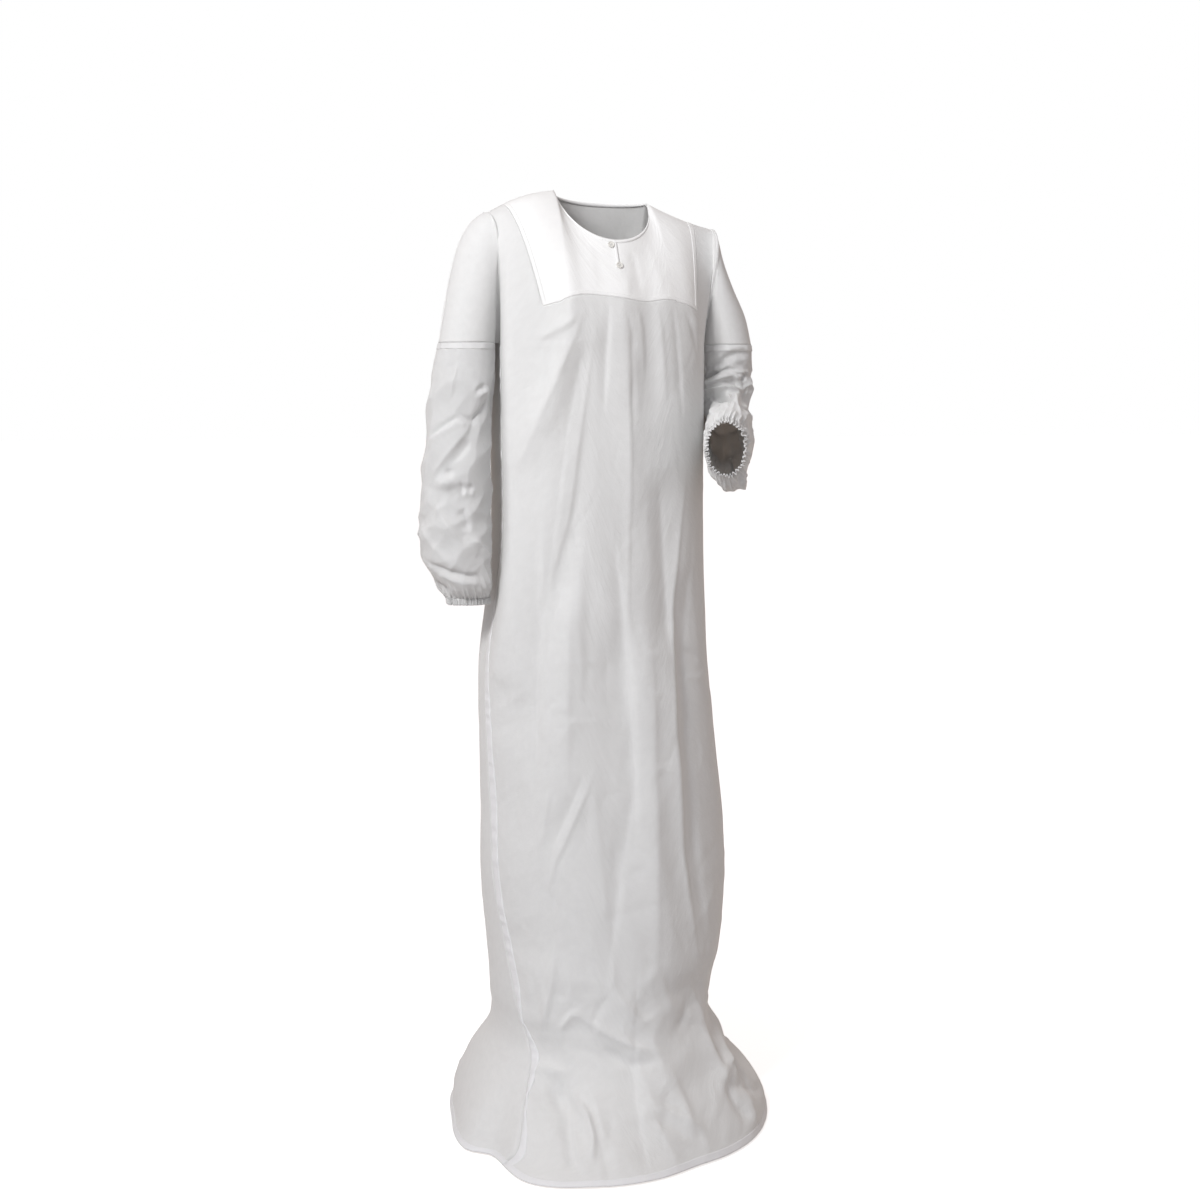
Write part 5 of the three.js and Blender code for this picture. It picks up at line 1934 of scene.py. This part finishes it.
@dataclass
class Sleeve:
    """A full sleeve from the armhole to the wrist, with its gathered cuff."""

    form: WornForm
    finishes: Finishes
    side: Side
    shape: SleeveShape
    around: int = 240
    row_step: float = 3.2
    gathers: int = 26
    gather_height: float = 5.0
    gather_scatter: float = 0.3
    gather_lean: float = 0.5
    gather_width: float = 0.3
    gather_reach: tuple[float, float] = (16, 52)
    casing_gathers: int = 40
    casing_height: float = 6.7
    casing_scatter: float = 0.25
    casing_width: float = 0.26
    casing_depth: float = 2.0
    lip_reach: float = 0.8
    lip_shoulder: float = 0.5
    lip_inset: float = 0.3
    facet_join: float = 30
    top_fade: float = 14
    armhole_width: float = 10
    seam_width: float = 6
    seed: int = 40

    def cuff_gathers(self) -> list[Crease]:
        """Returns the uneven gathers that the elastic casing draws up."""
        chance = np.random.default_rng(self.seed)
        pitch = 360 / self.gathers
        found = []
        for at in range(self.gathers):
            turn = (at + chance.uniform(-self.gather_scatter, self.gather_scatter)) * pitch
            reach = chance.uniform(*self.gather_reach)
            lean = chance.uniform(-self.gather_lean, self.gather_lean) * pitch
            height = self.gather_height * chance.uniform(0.5, 1.0)
            path = (
                (turn + lean, self.cuff_start - reach),
                (turn + lean / 3, self.cuff_start - reach / 3),
                (turn, self.cuff_start + 4),
            )
            width = pitch * self.gather_width
            found.append(Crease(path, width, height, 0.8, fade=reach * 0.7))
        pitch = 360 / self.casing_gathers
        for at in range(self.casing_gathers):
            turn = (at + chance.uniform(-self.casing_scatter, self.casing_scatter)) * pitch
            path = ((turn, self.cuff_start - 10), (turn, self.length + 12))
            height = self.casing_height * chance.uniform(0.5, 1.2)
            width = pitch * self.casing_width
            found.append(Crease(path, width, height, 0.4, fade=8, lean=0.0, thin=1.0))
        return found

    def ring_points(self, row: Array) -> Array:
        """Returns one ring of the sleeve, set out from its middle and its reaches.

        Args:
            row: the ring's row of the table.

        Returns:
            The ring's points.
        """
        x, y, z, inner, outer, front, back, lean, turn = row
        lean = math.radians(lean)
        turn = math.radians(turn) * -self.side.value
        spin = np.array(Matrix.Rotation(turn, 3, "Z"))
        inward = spin @ np.array([-self.side.value, 0, 0])
        forward = spin @ np.array([0, -math.cos(lean), math.sin(lean)])
        angle = np.arange(self.around) / self.around * 2 * math.pi
        across, along = np.cos(angle), np.sin(angle)
        across = across * np.where(across > 0, inner, outer)
        along = along * np.where(along > 0, front, back)
        points = np.array([x, y, z]) + across[:, None] * inward + along[:, None] * forward
        return self.form.lowered(points[:, 0], points[:, 1], points[:, 2])

    def armhole(self) -> Array:
        """Returns the armhole's points, from the underarm by the front to the overarm and back."""
        half = self.around // 2
        share = np.arange(half) / half
        ones = np.ones(half)
        front = self.form.arm(Face.FRONT, self.side, share, ones)
        back = self.form.arm(Face.BACK, self.side, 1 - share, ones)
        return np.concatenate([front, back])

    def __post_init__(self) -> None:
        """Sets out the sleeve's grid from its rings."""
        rings = [self.armhole(), *[self.ring_points(row) for row in self.shape.rings.rows]]
        stack = np.array(rings)
        steps = np.linalg.norm(np.diff(stack, axis=0), axis=-1).mean(1)
        places = np.concatenate([[0], np.cumsum(steps)])
        self.length = places[-1]
        self.cuff_start = places[-2]
        rows = np.linspace(0, self.length, round(self.length / self.row_step))
        rows[np.argmin(np.abs(rows - self.cuff_start))] = self.cuff_start
        smooth_points = Line(places, stack)(rows)
        closed = np.concatenate([smooth_points, smooth_points[:, :1]], axis=1)
        columns = np.arange(self.around + 1) / self.around * 360
        normals = self.closed_normals(closed)
        lift = self.lift(rows, columns)
        closed = closed + normals * lift[..., None]
        self.patch = Patch(closed, self.closed_normals(closed), rows, columns)

    def closed_normals(self, points: Array) -> Array:
        """Returns normals over a grid whose last column is its first again."""
        wrapped = np.concatenate([points[:, -2:-1], points, points[:, 1:2]], axis=1)
        return grid_normals(wrapped, self.side.value)[:, 1:-1]

    def lift(self, rows: Array, columns: Array) -> Array:
        """Returns how far the creases and gathers move each point outwards.

        Args:
            rows: the grid's places down the sleeve.
            columns: the grid's places round it, in degrees.

        Returns:
            Rows by columns of lifts, in millimetres.
        """
        turn, down = np.meshgrid(columns, rows)
        folds = with_crumples(self.shape.creases, self.shape.crumples)
        gathers = self.cuff_gathers()
        lift = np.zeros(turn.shape)
        for round_again in (-360, 0, 360):
            lift += total_lift(folds, turn + round_again, down) * self.shape.fold_depth
            lift += total_lift(gathers, turn + round_again, down)
        joined = smooth(turn, 0, self.facet_join)
        for crumpling in self.shape.facets:
            first, again = crumpling.lift(turn, down), crumpling.lift(turn + 360, down)
            lift += first * joined + again * (1 - joined)
        return lift * smooth(down, 0, self.top_fade)

    def armhole_band(self) -> Piece:
        """Returns the topstitched fold round the sleeve just below the armhole."""
        columns = np.linspace(0, 360, 300)
        rows = np.full(columns.shape, 0.4)
        across = self.patch.across_one_mm(rows, columns, 2.0, 0.0)
        name = f"armhole_seam_{self.side.name.lower()}"
        width = self.armhole_width
        band = SeamBand(name, self.patch, rows, columns, across, width, pucker=0.9, seed=41)
        return band.make(self.finishes.armhole)

    def underarm_band(self) -> Piece:
        """Returns the sleeve's long seam, on the side next to the body."""
        rows = np.arange(12.0, self.cuff_start - 2, 2.4)
        columns = np.full(rows.shape, 4.0)
        across = self.patch.across_one_mm(rows, columns, 0.0, 2.0)
        name = f"sleeve_seam_{self.side.name.lower()}"
        band = SeamBand(name, self.patch, rows, columns, across, self.seam_width, seed=51)
        return band.make(self.finishes.seam)

    def turned_edge(self) -> Array:
        """Returns the casing's rows and then those of its edge, turned in round the elastic."""
        cuff_row = int(np.argmin(np.abs(self.patch.rows - self.cuff_start)))
        points = self.patch.points[cuff_row:]
        onward = points[-1] - points[-2]
        onward /= np.linalg.norm(onward, axis=-1, keepdims=True)
        outward = points - points.mean(axis=1, keepdims=True)
        outward /= np.linalg.norm(outward, axis=-1, keepdims=True)
        inner = points - outward * self.casing_depth
        lip = [
            points[-1] + onward * self.lip_shoulder - outward[-1] * self.lip_inset,
            points[-1] + onward * self.lip_reach - outward[-1] * self.casing_depth / 2,
            inner[-1] + onward * self.lip_shoulder + outward[-1] * self.lip_inset,
        ]
        return np.concatenate([points, lip, inner[::-1]])

    def build(self) -> None:
        """Builds the sleeve, its seams and its cuff."""
        side = self.side.name.lower()
        cuff_row = int(np.argmin(np.abs(self.patch.rows - self.cuff_start)))
        flip = self.side is Side.RIGHT
        parts = {"sleeve": self.patch.points[: cuff_row + 1], "cuff": self.turned_edge()}
        made = {}
        for name, points in parts.items():
            cloth = Cloth(f"{name}_{side}_cloth")
            cloth.add_grid(points, all_cells(points), flip)
            made[name] = dress(cloth.make(), self.finishes.sleeve, CLOTH_SLOT, f"{name}_{side}")
        seams = [self.armhole_band(), self.underarm_band()]
        declare_sheet(made["sleeve"], SLEEVE_CUT, "gathered", ["front_panel_cloth"], seams)
        declare_sheet(made["cuff"], CUFF_CUT, "gathered", [made["sleeve"]], [])


@dataclass
class NeckBinding:
    """The narrow bias strip that is folded over the round neckline."""

    body: Body
    width: float = 5.0
    outer: float = 1.5
    inner: float = 1.6
    over: float = 1.0
    smoothing: int = 4

    def profile(self) -> Array:
        """Returns the strip's section: the way down the cloth, and the way out from it."""
        return np.array(
            [
                (self.width, 0.15),
                (self.width - 0.3, self.outer - 0.5),
                (self.width * 0.6, self.outer),
                (self.width * 0.2, self.outer * 0.9),
                (-self.over * 0.6, self.outer * 0.4),
                (-self.over, -0.3),
                (-self.over * 0.6, -self.inner * 0.7),
                (self.width * 0.2, -self.inner),
                (self.width - 0.6, -self.inner),
                (self.width - 0.4, -0.8),
            ]
        )

    def neckline(self) -> tuple[Array, Array, Array]:
        """Returns the neckline's points, with the ways down the cloth and out of it."""
        found = []
        for face, order in ((Face.FRONT, 1), (Face.BACK, -1)):
            trunk = self.body.trunk[face]
            columns = np.linspace(-NECK_COLUMN, NECK_COLUMN, 121)[::order]
            rows = np.zeros(columns.shape)
            edge, normals = trunk.sample(rows, columns)
            lower, _ = trunk.sample(rows + 0.3, columns)
            down = lower - edge
            down /= np.linalg.norm(down, axis=-1, keepdims=True)
            found.append((edge[:-1], down[:-1], normals[:-1]))
        edge, down, out = (np.concatenate(parts) for parts in zip(*found))
        for _ in range(self.smoothing):
            down = (np.roll(down, 1, 0) + down * 2 + np.roll(down, -1, 0)) / 4
            out = (np.roll(out, 1, 0) + out * 2 + np.roll(out, -1, 0)) / 4
        down /= np.linalg.norm(down, axis=-1, keepdims=True)
        out /= np.linalg.norm(out, axis=-1, keepdims=True)
        return edge, down, out

    def build(self) -> None:
        """Builds the binding as a closed strip all round the neck."""
        edge, down, out = self.neckline()
        section = self.profile()
        section = np.concatenate([section, section[:1]])
        rows = [edge + down * far + out * lift for far, lift in section]
        points = np.array([np.concatenate([row, row[:1]]) for row in rows])
        cloth = Cloth("neck_binding_cloth")
        cloth.add_grid(points, all_cells(points), False)
        piece = cloth.make(0)
        select_only(piece)
        bpy.ops.object.mode_set(mode="EDIT")
        bpy.ops.mesh.select_all(action="SELECT")
        bpy.ops.mesh.normals_make_consistent(inside=False)
        bpy.ops.object.mode_set(mode="OBJECT")
        dress(piece, self.body.finishes.double, CLOTH_SLOT, "neck_binding")
        declare_sheet(piece, BINDING_CUT, "folded", ["front_yoke_cloth"], [])


def add_cylinder(sides: int, radius: float, depth: float, place: tuple, turn: float = 0) -> Piece:
    """Adds a cylinder, alone selected; a turned one lies down.

    Args:
        sides: how many faces it has round it.
        radius: its radius in millimetres.
        depth: its length in millimetres.
        place: its middle, in millimetres.
        turn: degrees round z where it lies down, or 0 where it stands.

    Returns:
        The cylinder, with its place in its mesh.
    """
    bpy.ops.object.select_all(action="DESELECT")
    bpy.ops.mesh.primitive_cylinder_add(
        vertices=sides,
        radius=radius * MM,
        depth=depth * MM,
        location=[value * MM for value in place],
        rotation=(math.radians(90 if turn else 0), 0, math.radians(turn)),
    )
    bpy.ops.object.transform_apply(location=True, rotation=True)
    return bpy.context.object


def round_edges(piece: Piece, width: float, steps: int) -> None:
    """Rounds the sharp edges of the active piece.

    Args:
        piece: the piece, which is active.
        width: how wide the rounding is, in millimetres.
        steps: its number of flats.
    """
    soften = piece.modifiers.new("soften", "BEVEL")
    soften.width = width * MM
    soften.segments = steps
    bpy.ops.object.modifier_apply(modifier=soften.name)


@dataclass
class Button:
    """A four-hole shirt button, sewn on with thread."""

    form: WornForm
    finishes: Finishes
    name: str
    side: Side
    turn: float
    down: float
    radius: float = 5.2
    thickness: float = 2.2
    clearance: float = 0.5
    rim: float = 1.1
    dish: float = 0.8
    edge: float = 0.5
    hole_radius: float = 0.65
    hole_reach: float = 1.15
    thread_radius: float = 0.32
    disc_sides: int = 48
    hole_sides: int = 16
    thread_sides: int = 12

    def place(self) -> Matrix:
        """Returns where the button lies and how it is turned, with metres in the frame."""
        step = 0.01
        spots = [
            self.form.chest(Face.FRONT, self.side, np.array([turn]), np.array([down]))[0]
            for turn, down in (
                (self.turn, self.down),
                (self.turn + step, self.down),
                (self.turn, self.down + step),
            )
        ]
        here, beside, lower = (Vector(spot) for spot in spots)
        out = (beside - here).cross(lower - here).normalized() * -self.side.value
        spot = here + out * self.clearance - Vector((0, 0, HELD_HEIGHT))
        turned = out.to_track_quat("Z", "Y").to_matrix().to_4x4()
        return Matrix.Translation(spot * MM) @ turned

    def make_disc(self) -> Piece:
        """Returns the dished disc with its rounded rim and four holes."""
        middle = (0, 0, self.thickness / 2)
        disc = add_cylinder(self.disc_sides, self.radius, self.thickness, middle)
        disc.name = f"{self.name}_disc"
        top = max(face.center.z for face in disc.data.polygons)
        bpy.ops.object.mode_set(mode="EDIT")
        bpy.ops.mesh.select_all(action="DESELECT")
        bpy.ops.object.mode_set(mode="OBJECT")
        for face in disc.data.polygons:
            face.select = face.center.z > top - 1e-6
        bpy.ops.object.mode_set(mode="EDIT")
        bpy.ops.mesh.inset(thickness=self.rim * MM)
        bpy.ops.mesh.inset(thickness=self.dish * 0.7 * MM)
        bpy.ops.transform.translate(value=(0, 0, -self.dish * MM))
        bpy.ops.object.mode_set(mode="OBJECT")
        round_edges(disc, self.edge, 3)
        return disc

    def cut_holes(self, disc: Piece) -> None:
        """Cuts the four holes through the disc.

        Args:
            disc: the disc.
        """
        for across in (-1, 1):
            for up in (-1, 1):
                place = (across * self.hole_reach, up * self.hole_reach, 0)
                drill = add_cylinder(
                    self.hole_sides, self.hole_radius, self.thickness * 3, place
                )
                select_only(disc)
                cut = disc.modifiers.new("hole", "BOOLEAN")
                cut.object = drill
                cut.operation = "DIFFERENCE"
                bpy.ops.object.modifier_apply(modifier=cut.name)
                bpy.data.objects.remove(drill)

    def make_thread(self) -> Piece:
        """Returns the two crossed stitches that hold the button, and the shank under it."""
        parts = []
        height = self.thickness - self.dish + self.thread_radius * 0.6
        reach = self.hole_reach * math.sqrt(2) * 2 + 0.6
        for angle in (45, -45):
            parts.append(
                add_cylinder(self.thread_sides, self.thread_radius, reach, (0, 0, height), angle)
            )
            round_edges(parts[-1], self.thread_radius * 0.8, 2)
        shank = (self.hole_reach * 1.2, self.clearance * 3)
        parts.append(add_cylinder(self.hole_sides, *shank, (0, 0, 0)))
        round_edges(parts[-1], self.clearance * 0.4, 2)
        for part in parts:
            part.select_set(True)
        bpy.context.view_layer.objects.active = parts[0]
        bpy.ops.object.join()
        parts[0].name = f"{self.name}_thread"
        return parts[0]

    def build(self) -> None:
        """Builds the button and its thread in their place."""
        disc = self.make_disc()
        self.cut_holes(disc)
        thread = self.make_thread()
        place = self.place()
        for piece in (disc, thread):
            piece.data.transform(place)
            piece.matrix_world = Matrix.Identity(4)
            select_only(piece)
            bpy.ops.object.shade_smooth_by_angle(angle=math.radians(35))
        dress(disc, self.finishes.button, BUTTON_SLOT, self.name)
        dress(thread, self.finishes.cloth, CLOTH_SLOT)


BUTTON_PLACES = (
    ("button_top", Side.RIGHT, 0.028, 0.055),
    ("button_lower", Side.LEFT, 0.003, 0.255),
)


@dataclass
class Studio:
    """The plain pale floor, the soft lights and the camera."""

    floor_level: float = -1.481
    floor_size: float = 120.0
    camera_place: tuple[float, float, float] = (-0.9356, -3.0602, -0.330)
    camera_turn: tuple[float, float, float] = (84.35, 0.0, -17.0)
    lens: float = 59.64
    sensor: float = 36
    light_from: tuple[float, float, float] = (-0.5, -0.75, 0.35)
    dark_side: tuple[str, float] = ("#FFDCBC", 0.36)
    bright_side: tuple[str, float] = ("#F8F9FF", 0.7)
    window_place: tuple[float, float, float] = (-1.65, -1.6, 0.9)
    window_aim: tuple[float, float, float] = (0.0, 0.0, -0.5)
    window_watts: float = 46
    window_size: float = 0.7
    floor_colour: str = "#FAFAFA"
    floor_glow: float = 0.56
    backdrop: tuple[str, float] = ("#FFFFFF", 1.0)

    def build(self) -> None:
        """Sets up the floor, the lights and the camera."""
        self.make_floor()
        self.make_lights()
        self.make_camera()

    def make_floor(self) -> None:
        """Lays a plain pale floor under the hem, which shows but doesn't light the cloth."""
        bpy.ops.mesh.primitive_plane_add(size=self.floor_size, location=(0, 0, self.floor_level))
        floor = bpy.context.object
        floor.name = "studio_floor"
        material = bpy.data.materials.new("pale_paper")
        material.use_nodes = True
        paper = {
            "Base Color": linear_colour(self.floor_colour),
            "Roughness": 0.9,
            "Emission Color": linear_colour("#FFFFFF"),
            "Emission Strength": self.floor_glow,
        }
        for name, value in paper.items():
            material.node_tree.nodes["Principled BSDF"].inputs[name].default_value = value
        floor.data.materials.append(material)
        floor.visible_diffuse = False
        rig.stage(floor)

    def make_lights(self) -> None:
        """Surrounds the garment with soft light, and adds a window in front on its right."""
        scene = bpy.context.scene
        scene.view_settings.view_transform = "Standard"
        world = bpy.data.worlds.new("studio_air")
        scene.world = world
        world.use_nodes = True
        tree = world.node_tree
        tree.nodes.clear()
        way = add_node(tree, "TexCoord").outputs["Generated"]
        towards = Vector(self.light_from).normalized()
        ways = {0: way, 1: towards}
        facing = add_node(tree, "VectorMath", {"operation": "DOT_PRODUCT"}, ways).outputs["Value"]
        share = add_node(tree, "MapRange", {}, {"Value": facing, 1: -1.0}).outputs[0]
        tints = {0: share, 6: self.air(self.dark_side), 7: self.air(self.bright_side)}
        tint = add_node(tree, "Mix", {"data_type": "RGBA"}, tints).outputs[2]
        soft_box = add_node(tree, "Background", {}, {"Color": tint})
        paper = add_node(tree, "Background", {}, {"Color": self.air(self.backdrop)})
        seen = add_node(tree, "LightPath").outputs["Is Camera Ray"]
        parts = {0: seen, 1: soft_box.outputs[0], 2: paper.outputs[0]}
        both = add_node(tree, "MixShader", {}, parts).outputs[0]
        add_node(tree, "OutputWorld", {}, {"Surface": both})
        lamp = bpy.data.lights.new("window", "AREA")
        lamp.energy = self.window_watts
        lamp.size = self.window_size
        window = bpy.data.objects.new("window", lamp)
        window.location = self.window_place
        away = Vector(self.window_place) - Vector(self.window_aim)
        window.rotation_euler = away.to_track_quat("Z", "Y").to_euler()
        window.visible_camera = False
        scene.collection.objects.link(window)

    def air(self, light: tuple[str, float]) -> tuple[float, float, float, float]:
        """Returns a light's colour times its strength."""
        colour, strength = light
        return (*(value * strength for value in linear_colour(colour)[:3]), 1.0)

    def make_camera(self) -> None:
        """Stands the camera where the photograph was taken from."""
        data = bpy.data.cameras.new("camera")
        data.lens = self.lens
        data.sensor_width = self.sensor
        camera = bpy.data.objects.new("camera", data)
        bpy.context.scene.collection.objects.link(camera)
        camera.location = self.camera_place
        camera.rotation_euler = [math.radians(angle) for angle in self.camera_turn]
        bpy.context.scene.camera = camera


def main() -> None:
    """Builds the garment piece by piece."""
    finishes = Finishes()
    form = WornForm(BodySizes())
    body = Body(form, finishes)
    body.build()
    for side, shape in SLEEVE_SHAPES.items():
        Sleeve(form, finishes, side, shape).build()
    NeckBinding(body).build()
    for name, side, turn, down in BUTTON_PLACES:
        Button(form, finishes, name, side, turn, down).build()
    Studio().build()
    boxes = {"cad": CAD_BOX, "visual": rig.bounds()}
    plain = {name: [list(map(float, corner)) for corner in box] for name, box in boxes.items()}
    with open("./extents.json", "w", encoding="utf-8") as file:
        json.dump(plain, file)


if __name__ == "__main__":
    main()
